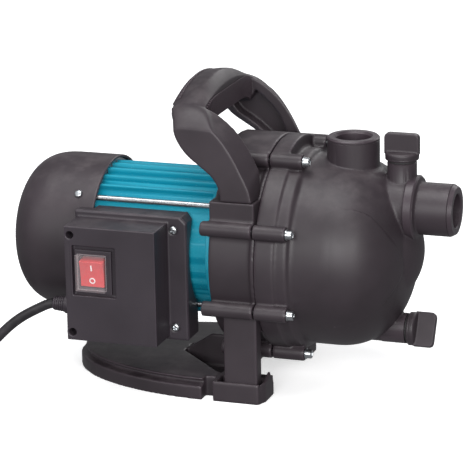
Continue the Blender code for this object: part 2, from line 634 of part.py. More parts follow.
def foot_base(material):
    foot = prism("foot_base", foot_outline(0), 0, 12, "Z", material)
    blocks, cut = [], []
    for side in (-1, 1):
        wall = [(51, side * 51.5), (51, side * 82), (91.8, side * 82), (95.9, side * 72), (95.9, side * 51.5)]
        blocks.append(prism(f"wall{side}", wall, 1, 17.6, "Z"))
        blocks.append(prism(f"peak{side}", [(side * 52, 12), (side * 57, 22.5), (side * 72, 17)],
                            92.6, 95.6, "X"))
        cut.append(block(f"slot{side}", FOOT_SLOT_X, sorted((side * 70, side * 90)), (-1, 30)))
        cut.append(block(f"recess{side}", (54.5, 92.8), sorted((side * 63, side * 79)), (6, 30)))
        cut.append(rod(f"screw_hole{side}", 2.3, -1, 7, "Z", (76, side * 72, 0), 10))
        cut.append(rod(f"screw_seat{side}", 4.6, -1, 3, "Z", (76, side * 72, 0), 14))
    deck = prism("deck", [(49, 78), *foot_arc(4), (49, -78)], 11, FOOT_Z, "Z")
    groove = prism("groove", [(45.5, 85), *foot_arc(-3), (45.5, -85)], 12.5, 16.5, "Z")
    shape(groove, cut=[prism("core", [(49.5, 74), *foot_arc(8), (49.5, -74)], 10, 20, "Z")])
    pocket = prism("pocket", [(0, -9), (0, 9), (47, 56), (50, 56), (50, -56), (47, -56)], 3, 30, "Z")
    web = prism("web", [(-1, 2), (0, FOOT_Z - 0.5), (23, 32.5), (43, 32.5), (47, 24), (49, 15), (56, 10),
                        (56, 2)], -2.6, 2.6, "Y")
    shape(foot, blocks + [deck], [pocket, groove] + cut)
    return shape(foot, [web])


def foot_screws(material):
    profile = [(0.5, 0), (0.5, 4), (2.4, 4), (3 - GAP, 1.9), (16, 1.9), (16, 0)]
    for i, side in enumerate((-1, 1)):
        lathe(f"foot_screw_{i + 1}", profile, "Z", (76, side * 72, 0), 12, material)


def loft(name, sections, material=None):
    """A closed skin through outlines that have the same number of points."""
    bm = bmesh.new()
    rings = [[bm.verts.new(p) for p in section] for section in sections]
    for first, second in zip(rings, rings[1:]):
        for i in range(len(first)):
            j = (i + 1) % len(first)
            bm.faces.new((first[i], first[j], second[j], second[i]))
    bm.faces.new(rings[0])
    bm.faces.new(rings[-1])
    return make_object(name, bm, material)


def leg_outline(t):
    """Side view of a handle leg, from its inner face at t = 0 to its outer face at t = 1."""
    top = 255 - 16.5 * t ** 1.8
    made = [(a + (c - a) * t, b + (d - b) * t) for a, b, c, d in LEG_BACK]
    made += [(a + (b - a) * t, top - c - (d - c) * t) for a, b, c, d in LEG_CROWN]
    return made + [(a + (c - a) * t, b + (d - b) * t) for a, b, c, d in LEG_FRONT]


def carry_handle(material):
    """Arch over the pump that leans back over the motor, its legs hollowed from the inside."""
    grip = []
    for y in (-60, -50, -38, -20, 0, 20, 38, 50, 60):
        low = GRIP_Z - 10 * (y / 60) ** 6
        top = [(x, y, z - sunk * (y / 60) ** 2) for x, z, sunk in GRIP_TOP]
        grip.append([(43, y, low), (16, y, low + 2), *top])
    handle = loft("carry_handle", grip, material)
    legs, cut = [], [rod("ring_room", BRACKET_R + 2.6, BRACKET_X[0] - 1, 100, "X", (0, 0, AXIS_Z), 48)]
    for side in (-1, 1):
        places = [(GRIP_Y + (HANDLE_Y - GRIP_Y) * t, t) for t in (0, 0.3, 0.55, 0.75, 0.9, 1)]
        legs.append(loft(f"leg{side}", [[(x, side * y, z) for x, z in leg_outline(t)] for y, t in places]))
        cut.append(prism(f"pocket{side}", POCKET, *sorted((side * (GRIP_Y - 1), side * POCKET_END_Y)), "Y"))
    return shape(handle, legs, cut)


# ---- Cord --------------------------------------------------------------------------------------

def mains_cord(finish):
    cord("power_cord", CORD_ROUTE, finish["cable"])
    lo, hi = COIL_R[0] - CORD_R - 0.2, COIL_R[1] + CORD_R + 0.2
    ring("cord_coil", lo, hi, 0.1, 4 * CORD_R + 0.3, "Z", (*COIL_CENTRE, 0), 40, finish["cable"])
    cord("cord_tail", TAIL_ROUTE, finish["cable"])
    start, end = Vector(TAIL_ROUTE[-2]), Vector(TAIL_ROUTE[-1])
    way = (end - start).normalized()
    way.z = 0
    profile = [(0.8, 0), (0.8, 5), (20, 7.5), (21, 15), (26, 18), (48, 18), (50, 16.5), (50, 0)]
    body = lathe("mains_plug", profile, "X", steps=24, material=finish["box"])
    pins = [rod(f"pin{side}", 2.4, 48, 69, "X", (0, side * 9.5, 0), 10) for side in (-1, 1)]
    shape(body, pins)
    turn = Vector((1, 0, 0)).rotation_difference(way.normalized()).to_matrix().to_4x4()
    body.data.transform(Matrix.Translation(end * MM) @ turn)


def main():
    clear_scene()
    plastic = paint("black_plastic", (72, 66, 72), 0.5)
    finish = {
        "box": paint("box_plastic", (60, 57, 62), 0.5),
        "inner": paint("inner_plastic", (210, 208, 200), 0.5),
        "steel": paint("bright_steel", (200, 204, 206), 0.3, 1.0),
        "lamination": paint("lamination", (120, 122, 126), 0.45, 0.9),
        "copper": paint("copper_wire", (176, 98, 58), 0.4, 0.9),
        "rubber": paint("rubber", (30, 30, 31), 0.8),
        "ceramic": paint("ceramic", (236, 234, 226), 0.3),
        "carbon": paint("carbon", (48, 48, 50), 0.55),
        "brass": paint("brass", (190, 152, 84), 0.35, 1.0),
        "capacitor": paint("capacitor_case", (226, 226, 222), 0.45),
        "red": paint("red_rocker", (214, 60, 58), 0.35),
        "boot": paint("clear_boot", (226, 220, 222), 0.2, 0.0, 0.35),
        "cable": paint("cable_rubber", (36, 34, 37), 0.65),
    }
    teal = paint("teal_enamel", (28, 150, 174), 0.35)
    pump_casing(plastic)
    motor_bracket(plastic)
    casing_bolts(finish["steel"])
    plugs(plastic, finish["rubber"])
    pump_internals(finish)
    motor_housing(teal)
    end_shields(paint("cast_aluminium", (206, 208, 210), 0.45, 0.9))
    fan_cover(plastic, finish["steel"])
    motor_internals(finish)
    terminal_box(finish)
    switch(finish)
    cable_entry(finish)
    foot_base(plastic)
    foot_screws(finish["steel"])
    carry_handle(plastic)
    mains_cord(finish)


main()
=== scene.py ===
"""The look of the garden jet pump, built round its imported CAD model. Lengths are in millimetres."""

import math

import bmesh
import bpy
from mathutils import Matrix, Vector


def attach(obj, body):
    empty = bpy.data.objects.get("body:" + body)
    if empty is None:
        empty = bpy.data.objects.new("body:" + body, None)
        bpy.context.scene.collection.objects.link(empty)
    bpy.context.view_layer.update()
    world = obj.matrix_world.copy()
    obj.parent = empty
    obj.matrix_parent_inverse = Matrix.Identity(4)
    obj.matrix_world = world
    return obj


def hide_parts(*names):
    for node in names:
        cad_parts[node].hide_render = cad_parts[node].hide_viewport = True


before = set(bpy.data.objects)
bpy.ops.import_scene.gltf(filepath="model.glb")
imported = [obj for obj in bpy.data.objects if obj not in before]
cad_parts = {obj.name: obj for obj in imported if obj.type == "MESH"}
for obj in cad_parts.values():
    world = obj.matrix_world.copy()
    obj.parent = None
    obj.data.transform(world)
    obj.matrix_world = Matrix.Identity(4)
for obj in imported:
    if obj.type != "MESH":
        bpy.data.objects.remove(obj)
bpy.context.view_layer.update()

MM = 0.001
AXIS_Z = 119.0           # height of the shaft
PART_X = 91.4            # parting plane of the pump body
BODY_R = 82.0
FLANGE_R = 88.0
BELL_X = (145.0, 207.0)
BELL_POWER = 2.3
NOSE_CENTRE = (170.0, 0.0, 122.0)
NOSE_RADII = (45.0, 43.0, 50.0)
WALL = 4.0
PORT_R = 22.5
INLET_Z = 161.0
INLET_END_X = 244.6
OUTLET_X = 153.7
OUTLET_TOP_Z = 220.6
FILL_X = 196.5
DRAIN_Z = 53.0
NECK_END = 201.0
BOLT_CIRCLE_R = 92.0
BOLT_FACE_X = 120.0
BOSS_R = 6.5
RING_X = (50.0, 91.2)
RING_R = 84.0
PAD_R = 97.5
CHAMBER_R = 78.0
HOUSING_X = (-66.0, 45.4)
FIN_R = 64.0
FIN_PITCH = 10.8
FIN_GROUPS = (88.5, 180.0, 268.5)
COVER_R = 68.4
COVER_X = (-62.5, -98.0, -148.0)
DOME_POWER = 2.9
ROD_CIRCLE_R = 63.0
FIRST_ROD = 43.5         # degrees, as the other angles round the shaft
COVER_SCREW_START = 43
BOX_X = (-75.0, 26.0)
BOX_Z = (48.0, 157.0)
BLOCK_X = (-72.7, 9.2)
BLOCK_Z = (51.0, 152.0)
BLOCK_FRONT_Y = -102.0
ROCKER_PIVOT = (-47.5, -92.0, 112.25)
ROCKER_TILT = 8.5
POST_X = -67.5           # the two moulded posts of the box cover
POST_Z = (144.3, 57.8)
COVER_SCREW_X = 14.5
COVER_SCREW_Z = (145.7, 59.1)
LEG_X, LEG_Y = 76.0, 72.0
SCREW_HOLE_R = 2.3
CORD_EXIT = (-99.0, -66.0, 70.3)
CORD_D = 8.8
COIL_CENTRE = (-238.0, -24.0)


# ---- Camera, light and floor -------------------------------------------------------------------

def set_camera():
    """A long lens that looks down on the pump from the front, with the suction port to the right."""
    data = bpy.data.cameras.new("camera")
    data.lens, data.sensor_width, data.clip_end = 216.3, 36, 30
    eye = bpy.data.objects.new("camera", data)
    right, up, ahead = (0.9460, 0.3238, -0.0182), (-0.0745, 0.2717, 0.9595), (-0.3156, 0.9063, -0.2812)
    place = (0.8204, -2.2247, 0.8145)
    rows = [(r, u, -a, p) for r, u, a, p in zip(right, up, ahead, place)]
    eye.matrix_world = Matrix((*rows, (0, 0, 0, 1)))
    bpy.context.scene.collection.objects.link(eye)
    bpy.context.scene.camera = eye


def softbox(name, place, size, power, aim=(0.02, 0, 0.12), tint=(1, 1, 1)):
    data = bpy.data.lights.new(name, "AREA")
    data.shape, data.size, data.size_y = "RECTANGLE", *size
    data.energy, data.color = power, tint
    lamp = bpy.data.objects.new(name, data)
    lamp.location = place
    lamp.rotation_euler = (Vector(aim) - Vector(place)).to_track_quat("-Z", "Y").to_euler()
    bpy.context.scene.collection.objects.link(lamp)


def set_light():
    softbox("overhead", (-0.1, -0.4, 1.9), (1.6, 1.1), 27)
    softbox("left_front", (-1.5, -1.9, 1.2), (1.0, 1.2), 10)
    softbox("front", (0.35, -2.7, 0.95), (1.3, 1.0), 48)
    softbox("right_front", (1.7, -2.0, 0.8), (0.8, 1.2), 30, tint=(1, 0.985, 0.98))
    softbox("back", (0.4, 2.0, 1.3), (1.6, 0.9), 12)
    world = bpy.data.worlds.new("room")
    world.use_nodes = True
    glow = world.node_tree.nodes["Background"]
    glow.inputs["Color"].default_value = (0.96, 0.97, 1, 1)
    glow.inputs["Strength"].default_value = 0.3
    bpy.context.scene.world = world
    bpy.context.scene.view_settings.view_transform = "Standard"


def lay_floor():
    """A pale floor just under the foot, which throws no light back on the pump."""
    bm = bmesh.new()
    bmesh.ops.create_grid(bm, x_segments=8, y_segments=8, size=9000)
    bm.transform(Matrix.Translation((0, 0, -0.2)))
    floor = linked("studio_floor", bm)
    floor.data.materials.append(FINISHES["floor"])
    floor.visible_diffuse = floor.visible_glossy = False


# ---- Finishes ----------------------------------------------------------------------------------

class Flow:
    """What comes out of a node. Sums on it add Math nodes."""

    def __init__(self, finish, socket):
        self.finish, self.socket = finish, socket

    def maths(self, operation, first, second):
        return self.finish.node("Math", {"operation": operation}, {0: first, 1: second})

    def __add__(self, other):
        return self.maths("ADD", self, other)

    def __sub__(self, other):
        return self.maths("SUBTRACT", self, other)

    def __rsub__(self, other):
        return self.maths("SUBTRACT", other, self)

    def __mul__(self, other):
        return self.maths("MULTIPLY", self, other)

    __radd__, __rmul__ = __add__, __mul__


def screen(colour):
    """Screen values from 0 to 255 as a linear colour."""
    return (*[c / 3294.6 if c < 11 else ((c / 255 + 0.055) / 1.055) ** 2.4 for c in colour], 1)


class Finish:
    """A material whose nodes are added through one method."""

    def __init__(self, name, **fixed):
        self.material = bpy.data.materials.new(name)
        self.material.use_nodes = True
        self.tree = self.material.node_tree
        self.shader = self.tree.nodes["Principled BSDF"]
        for key, value in fixed.items():
            self.shader.inputs[key.replace("_", " ").title().replace("Ior", "IOR")].default_value = value
        self.place = self.node("TexCoord", output="Object")

    def node(self, kind, settings=None, values=None, output=0):
        made = self.tree.nodes.new("ShaderNode" + kind)
        for key, value in (settings or {}).items():
            if key == "stops":
                self.set_ramp(made.color_ramp, value)
            else:
                setattr(made, key, value)
        for key, value in (values or {}).items():
            if isinstance(value, Flow):
                self.tree.links.new(value.socket, made.inputs[key])
            else:
                made.inputs[key].default_value = value
        return Flow(self, made.outputs[output])

    @staticmethod
    def set_ramp(ramp, stops):
        while len(ramp.elements) < len(stops):
            ramp.elements.new(1)
        for element, (place, level) in zip(ramp.elements, stops):
            element.position = place
            element.color = level if isinstance(level, tuple) else (level, level, level, 1)

    def feed(self, **flows):
        for key, flow in flows.items():
            self.tree.links.new(flow.socket, self.shader.inputs[key.replace("_", " ").title()])

    def noise(self, per_metre, detail=2.0, rough=0.5, stretch=None):
        vector = self.place
        if stretch:
            vector = self.node("Mapping", {}, {"Vector": vector, "Scale": stretch})
        return self.node("TexNoise", {}, {"Vector": vector, "Scale": per_metre, "Detail": detail,
                                          "Roughness": rough})

    def wave(self, per_metre, axis="X", distortion=0.0):
        return self.node("TexWave", {"bands_direction": axis},
                         {"Vector": self.place, "Scale": per_metre, "Distortion": distortion}, "Fac")

    def ramp(self, flow, *stops):
        return self.node("ValToRGB", {"stops": stops}, {"Fac": flow})

    def mixed(self, factor, first, second):
        return self.node("Mix", {"data_type": "RGBA"}, {0: factor, 6: first, 7: second}, 2)

    def relief(self, height, depth, strength=1.0):
        self.feed(Normal=self.node("Bump", {}, {"Height": height, "Distance": depth * MM,
                                                "Strength": strength}))

    def edges(self, start=0.51, end=0.56):
        """1 on outer edges, 0 elsewhere."""
        point = self.node("NewGeometry", output="Pointiness")
        return self.ramp(point, (start, 0.0), (end, 1.0))

    def hollows(self, start=0.49, end=0.44):
        point = self.node("NewGeometry", output="Pointiness")
        return self.ramp(point, (end, 1.0), (start, 0.0))

    def facing_up(self):
        normal = self.node("NewGeometry", output="Normal")
        height = self.node("SeparateXYZ", {}, {0: normal}, "Z")
        return self.ramp(height, (0.35, 0.0), (1.0, 1.0))


def moulded_plastic(name, colour, sheen_colour, roughness, grain=0.03):
    """Black plastic from a spark-eroded mould: fine grain, soft flow patches, rubbed edges, a little dust."""
    f = Finish(name, roughness=roughness, ior=1.5, specular_ior_level=0.42)
    patches = f.ramp(f.noise(16, 3, 0.55), (0.35, 0.0), (0.68, 1.0))
    speckle = f.noise(1900, 1)
    base = f.mixed(patches, screen(colour), screen(sheen_colour))
    base = f.mixed(speckle * 0.22, base, screen([c * 1.35 for c in colour]))
    base = f.mixed(f.edges() * 0.30, base, screen([c * 1.9 for c in colour]))
    dust = f.facing_up() * f.ramp(f.noise(55, 5, 0.65), (0.42, 0.0), (0.72, 1.0))
    base = f.mixed(dust * 0.10, base, screen((168, 158, 160)))
    scuffs = f.ramp(f.noise(70, 3, 0.6, (1, 1, 0.12)), (0.60, 0.0), (0.66, 1.0))
    f.feed(Base_Color=base,
           Roughness=roughness + (patches * 0.06 + speckle * 0.05) + (scuffs * 0.05 - f.edges() * 0.08))
    f.relief(f.noise(1250, 2, 0.6) + f.noise(420, 1) * 0.5, grain)
    return f.material


def enamel():
    """Teal paint over cast fins: orange peel, thinner on the edges, painted shade in the hollows, which are
    also rougher.
    """
    f = Finish("teal_paint", roughness=0.4, coat_weight=0.1, coat_roughness=0.2, specular_ior_level=0.3)
    drift = f.noise(22, 2)
    base = f.mixed(drift, screen((2, 116, 140)), screen((5, 130, 154)))
    base = f.mixed(f.edges(0.52, 0.60) * 0.3, base, screen((60, 172, 192)))
    # painted shade: the colour darkens to deep teal in the hollows between the fins
    base = f.mixed(f.hollows() * 0.6, base, screen((0, 66, 84)))
    base = f.mixed(f.ramp(f.noise(900, 2), (0.62, 0.0), (0.72, 1.0)) * 0.10, base, screen((180, 225, 230)))
    f.feed(Base_Color=base, Roughness=0.37 + drift * 0.08 + f.hollows() * 0.15)
    f.relief(f.noise(330, 2) + f.noise(1100, 1) * 0.25, 0.05)
    return f.material


def metal(name, light, dark, roughness, stretch=None, per_metre=500, depth=0.02, metallic=1.0):
    f = Finish(name, roughness=roughness, metallic=metallic)
    lines = f.noise(per_metre, 4, 0.6, stretch)
    stains = f.ramp(f.noise(60, 4, 0.6), (0.40, 0.0), (0.75, 1.0))
    base = f.mixed(lines, screen(dark), screen(light))
    base = f.mixed(stains * 0.18, base, screen([c * 0.72 for c in light]))
    f.feed(Base_Color=base, Roughness=roughness - 0.06 + lines * 0.12 + stains * 0.08)
    f.relief(lines, depth)
    return f.material


def plain(name, colour, roughness, per_metre=240, depth=0.03, change=0.82):
    """A moulded or pressed finish with slight changes of shade and a fine surface."""
    f = Finish(name, roughness=roughness)
    drift, fine = f.noise(35, 3), f.noise(per_metre * 5, 2)
    base = f.mixed(drift, screen(colour), screen([c * change for c in colour]))
    f.feed(Base_Color=base, Roughness=roughness - 0.05 + drift * 0.06 + fine * 0.06)
    f.relief(f.noise(per_metre, 2) + fine * 0.4, depth)
    return f.material


def laminated():
    f = Finish("stacked_steel", metallic=0.85)
    sheets = f.wave(320, "X", 0.2)
    rust = f.ramp(f.noise(90, 4, 0.6), (0.52, 0.0), (0.74, 1.0))
    base = f.mixed(sheets, screen((96, 98, 102)), screen((150, 152, 156)))
    f.feed(Base_Color=f.mixed(rust * 0.3, base, screen((120, 88, 66))), Roughness=0.38 + rust * 0.25)
    f.relief(sheets, 0.12)
    return f.material


def wound_wire():
    f = Finish("copper_wire", metallic=0.9, coat_weight=0.5)
    turns = f.wave(260, "Z", 2.5)
    base = f.mixed(turns, screen((120, 58, 30)), screen((206, 122, 74)))
    f.feed(Base_Color=f.mixed(f.noise(40) * 0.4, base, screen((150, 84, 44))), Roughness=0.3 + turns * 0.15)
    f.relief(turns, 0.35)
    return f.material


def cable_sheath():
    """Black rubber-like sheath with faint lines along it and a dusty bloom."""
    f = Finish("cable_sheath", roughness=0.5)
    bloom = f.ramp(f.noise(90, 4, 0.6), (0.45, 0.0), (0.75, 1.0))
    base = f.mixed(bloom * 0.35, screen((30, 28, 31)), screen((72, 68, 72)))
    f.feed(Base_Color=base, Roughness=0.42 + bloom * 0.15)
    f.relief(f.noise(900, 3, 0.6), 0.03)
    return f.material


def red_rocker_plastic():
    f = Finish("red_rocker_plastic", roughness=0.3, coat_weight=0.3, subsurface_weight=0.15,
               subsurface_scale=0.003)
    drift = f.noise(150, 2)
    f.feed(Base_Color=f.mixed(drift, screen((190, 30, 34)), screen((206, 42, 44))),
           Roughness=0.28 + drift * 0.08)
    f.relief(f.noise(800, 1), 0.02)
    return f.material


def clear_sheet():
    """Soft clear moulding, a little milky."""
    f = Finish("clear_moulding", roughness=0.12, alpha=0.3, coat_weight=0.6, coat_roughness=0.06)
    haze = f.noise(260, 3, 0.6)
    rim = f.edges(0.52, 0.62)
    f.feed(Base_Color=f.mixed(haze, screen((250, 240, 242)), screen((232, 214, 218))),
           Alpha=0.04 + haze * 0.06 + rim * 0.3, Roughness=0.08 + haze * 0.15)
    f.relief(f.noise(120, 2), 0.05)
    return f.material


def floor_finish():
    f = Finish("studio_floor", roughness=0.8, emission_color=(1, 1, 1, 1), emission_strength=0.55,
               specular_ior_level=0.1)
    f.feed(Base_Color=f.mixed(f.noise(3, 2), (0.86, 0.86, 0.865, 1), (0.9, 0.9, 0.9, 1)))
    return f.material


FINISHES = {
    "black": moulded_plastic("black_moulded_plastic", (40, 34, 38), (50, 43, 48), 0.42),
    "box": moulded_plastic("box_moulded_plastic", (41, 36, 41), (49, 43, 49), 0.40, 0.02),
    "teal": enamel(),
    "cast": metal("bare_cast_aluminium", (222, 224, 226), (178, 180, 184), 0.42, None, 300, 0.06, 0.9),
    "steel": metal("bright_zinc_steel", (212, 215, 217), (148, 152, 156), 0.26, (1, 8, 8), 260, 0.01),
    "turned": metal("turned_steel", (196, 198, 200), (150, 152, 156), 0.26, (12, 1, 1), 200, 0.01),
    "brass": metal("machined_brass", (214, 178, 102), (166, 128, 62), 0.28, (9, 1, 1), 260, 0.02),
    "lamination": laminated(),
    "copper": wound_wire(),
    "inner": plain("pale_moulded_plastic", (206, 203, 192), 0.46),
    "rubber": plain("black_rubber", (34, 33, 34), 0.7, 160, 0.06, 1.4),
    "ceramic": plain("glazed_ceramic", (236, 233, 224), 0.2, 300, 0.008, 0.95),
    "carbon": plain("pressed_carbon", (50, 50, 53), 0.45, 300, 0.03, 0.75),
    "capacitor": plain("capacitor_shell", (226, 225, 218), 0.4, 200, 0.02, 0.93),
    "cable": cable_sheath(),
    "red": red_rocker_plastic(),
    "clear": clear_sheet(),
    "mark": plain("white_marking", (236, 230, 228), 0.5, 300, 0.01, 0.96),
    "floor": floor_finish(),
}


# ---- Shapes ------------------------------------------------------------------------------------

def linked(name, bm):
    """Turns a shape in millimetres into an object at the origin."""
    bm.transform(Matrix.Scale(MM, 4))
    mesh = bpy.data.meshes.new(name)
    bm.to_mesh(mesh)
    bm.free()
    made = bpy.data.objects.new(name, mesh)
    bpy.context.scene.collection.objects.link(made)
    return made


def new_piece(name, bm):
    """Makes an object of a closed shape in millimetres, with its faces outwards."""
    bmesh.ops.recalc_face_normals(bm, faces=bm.faces)
    if bm.calc_volume(signed=True) < 0:
        bmesh.ops.reverse_faces(bm, faces=bm.faces)
    return linked(name, bm)


def on_axis(axis, along, u, v):
    return {"X": (along, u, v), "Y": (u, along, v), "Z": (u, v, along)}[axis]


def lathe(name, profile, axis="X", centre=(0, 0, AXIS_Z), steps=144):
    """Turns (place along the axis, radius) points. Without ends on the axis it is a ring."""
    bm = bmesh.new()
    rings = []
    for along, radius in profile:
        if radius == 0:
            rings.append([bm.verts.new(on_axis(axis, along, 0, 0))])
            continue
        turn = [math.tau * (i + 0.31) / steps for i in range(steps)]
        rings.append([bm.verts.new(on_axis(axis, along, radius * math.cos(a), radius * math.sin(a)))
                      for a in turn])
    pairs = list(zip(rings, rings[1:]))
    if profile[0][1] and profile[-1][1]:
        pairs.append((rings[-1], rings[0]))
    for first, second in pairs:
        for i in range(steps):
            j = (i + 1) % steps
            ends = [first[i % len(first)], first[j % len(first)],
                    second[j % len(second)], second[i % len(second)]]
            bm.faces.new(list(dict.fromkeys(ends)))
    bm.transform(Matrix.Translation(Vector(centre)))
    return new_piece(name, bm)


def rod(name, radius, lo, hi, axis="X", centre=(0, 0, AXIS_Z), steps=48):
    return lathe(name, [(lo, 0), (lo, radius), (hi, radius), (hi, 0)], axis, centre, steps)


def prism(name, outline, lo, hi, axis="Z"):
    bm = bmesh.new()
    low = [bm.verts.new(on_axis(axis, lo, u, v)) for u, v in outline]
    high = [bm.verts.new(on_axis(axis, hi, u, v)) for u, v in outline]
    bm.faces.new(low)
    bm.faces.new(high)
    for i in range(len(outline)):
        j = (i + 1) % len(outline)
        bm.faces.new((low[i], low[j], high[j], high[i]))
    return new_piece(name, bm)


def block(name, x, y, z):
    return prism(name, [(x[0], y[0]), (x[1], y[0]), (x[1], y[1]), (x[0], y[1])], z[0], z[1])


def ellipsoid(name, centre, radii):
    bm = bmesh.new()
    bmesh.ops.create_icosphere(bm, subdivisions=6, radius=1)
    bm.transform(Matrix.Translation(Vector(centre)) @ Matrix.Diagonal((*radii, 1)))
    return new_piece(name, bm)


def loft(name, sections):
    bm = bmesh.new()
    rings = [[bm.verts.new(p) for p in section] for section in sections]
    for first, second in zip(rings, rings[1:]):
        for i in range(len(first)):
            j = (i + 1) % len(first)
            bm.faces.new((first[i], first[j], second[j], second[i]))
    bm.faces.new(rings[0])
    bm.faces.new(rings[-1])
    return new_piece(name, bm)


def polar(angle, radius):
    """Y and Z of a point round the shaft; 0 degrees is towards the switch box and 90 is up."""
    t = math.radians(angle)
    return -radius * math.cos(t), AXIS_Z + radius * math.sin(t)


def sector(name, angle, half_width, radii, x):
    turns = [angle - half_width + half_width * i / 20 for i in range(41)]
    outline = [polar(t, radii[0]) for t in turns] + [polar(t, radii[1]) for t in reversed(turns)]
    return prism(name, outline, x[0], x[1], "X")


def oval_quarter(start, reach, radius, power, steps):
    made = []
    for i in range(1, steps + 1):
        t = math.pi / 2 * i / steps
        made.append((start + reach * math.sin(t) ** (2 / power),
                     0 if i == steps else radius * math.cos(t) ** (2 / power)))
    return made


def smooth_line(points, steps):
    """Points through the given ones, as a Catmull-Rom curve."""
    knots = [Vector(p) for p in points]
    knots = [2 * knots[0] - knots[1], *knots, 2 * knots[-1] - knots[-2]]
    made = []
    for a, b, c, d in zip(knots, knots[1:], knots[2:], knots[3:]):
        for i in range(steps):
            t = i / steps
            made.append(0.5 * (2 * b + (c - a) * t + (2 * a - 5 * b + 4 * c - d) * t * t
                               + (3 * b - a - 3 * c + d) * t ** 3))
    return [*made, knots[-2]]


def bake(piece):
    """Makes the piece's modifiers part of its mesh."""
    graph = bpy.context.evaluated_depsgraph_get()
    mesh = bpy.data.meshes.new_from_object(piece.evaluated_get(graph))
    piece.modifiers.clear()
    piece.data = mesh
    return piece


def shape(base, join=(), cut=(), meet=()):
    steps = [("UNION", join), ("DIFFERENCE", cut), ("INTERSECT", meet)]
    for operation, others in steps:
        for other in others:
            modifier = base.modifiers.new(operation, "BOOLEAN")
            modifier.operation, modifier.solver, modifier.object = operation, "MANIFOLD", other
    bake(base)
    for _, others in steps:
        for other in others:
            bpy.data.objects.remove(other, do_unlink=True)
    return base


def moulded(piece, voxel, rounds):
    """Gives a piece the soft corners of a moulding."""
    cells = piece.modifiers.new("cells", "REMESH")
    cells.mode, cells.voxel_size, cells.use_smooth_shade = "VOXEL", voxel * MM, True
    soft = piece.modifiers.new("soft", "SMOOTH")
    soft.factor, soft.iterations = 0.5, rounds
    bake(piece)
    piece.data.shade_smooth()
    return piece


def chamfered(piece, width=0.5, segments=2, angle=30):
    """Crisp machined or pressed piece with a small rounded edge."""
    modifier = piece.modifiers.new("edge", "BEVEL")
    modifier.width, modifier.segments, modifier.limit_method = width * MM, segments, "ANGLE"
    modifier.angle_limit = math.radians(angle)
    modifier.use_clamp_overlap = True
    bake(piece)
    piece.data.shade_smooth()
    piece.data.set_sharp_from_angle(angle=math.radians(38))
    return piece


def fit(piece, finish, body, slot, *nodes):
    """Puts the finish on, hangs the piece on the body it rides on, and hides the CAD nodes it stands for."""
    piece.data.materials.clear()
    piece.data.materials.append(FINISHES[finish])
    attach(piece, body)
    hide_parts(*nodes)
    return piece


# ---- Repeated pieces by Geometry Nodes ---------------------------------------------------------

def new_tree(name, inputs):
    tree = bpy.data.node_groups.new(name, "GeometryNodeTree")
    tree.interface.new_socket("Geometry", in_out="INPUT", socket_type="NodeSocketGeometry")
    sockets = {}
    for label, kind in inputs:
        sockets[label] = tree.interface.new_socket(label, in_out="INPUT", socket_type="NodeSocket" + kind)
    tree.interface.new_socket("Geometry", in_out="OUTPUT", socket_type="NodeSocketGeometry")
    return tree, sockets


def add(tree, kind, settings=None, links=None):
    node = tree.nodes.new(kind)
    for key, value in (settings or {}).items():
        setattr(node, key, value)
    for key, value in (links or {}).items():
        if isinstance(value, bpy.types.NodeSocket):
            tree.links.new(value, node.inputs[key])
        else:
            node.inputs[key].default_value = value
    return node


def shaft_ring_tree():
    """Copies of one piece, turned about the shaft in equal steps."""
    tree, sockets = new_tree("round_the_shaft", [
        ("Piece", "Object"), ("Count", "Int"), ("First angle", "Float"), ("Step angle", "Float"),
        ("Shaft height", "Float"), ("Finish", "Material")])
    given = add(tree, "NodeGroupInput").outputs
    maths = "ShaderNodeMath"
    points = add(tree, "GeometryNodePoints", {}, {"Count": given["Count"]})
    index = add(tree, "GeometryNodeInputIndex")
    steps = add(tree, maths, {"operation": "MULTIPLY"}, {0: index.outputs[0], 1: given["Step angle"]})
    angle = add(tree, maths, {"operation": "ADD"}, {0: steps.outputs[0], 1: given["First angle"]})
    back = add(tree, maths, {"operation": "MULTIPLY"}, {0: angle.outputs[0], 1: -math.pi / 180})
    turn = add(tree, "ShaderNodeCombineXYZ", {}, {"X": back.outputs[0]})
    piece = add(tree, "GeometryNodeObjectInfo", {}, {"Object": given["Piece"]})
    copies = add(tree, "GeometryNodeInstanceOnPoints", {}, {
        "Points": points.outputs[0], "Instance": piece.outputs["Geometry"], "Rotation": turn.outputs[0]})
    lift = add(tree, "ShaderNodeCombineXYZ", {}, {"Z": given["Shaft height"]})
    raised = add(tree, "GeometryNodeTransform", {}, {"Geometry": copies.outputs[0],
                                                      "Translation": lift.outputs[0]})
    real = add(tree, "GeometryNodeRealizeInstances", {}, {"Geometry": raised.outputs[0]})
    done = add(tree, "GeometryNodeSetMaterial", {}, {"Geometry": real.outputs[0],
                                                      "Material": given["Finish"]})
    add(tree, "NodeGroupOutput", {}, {"Geometry": done.outputs[0]})
    return tree, sockets


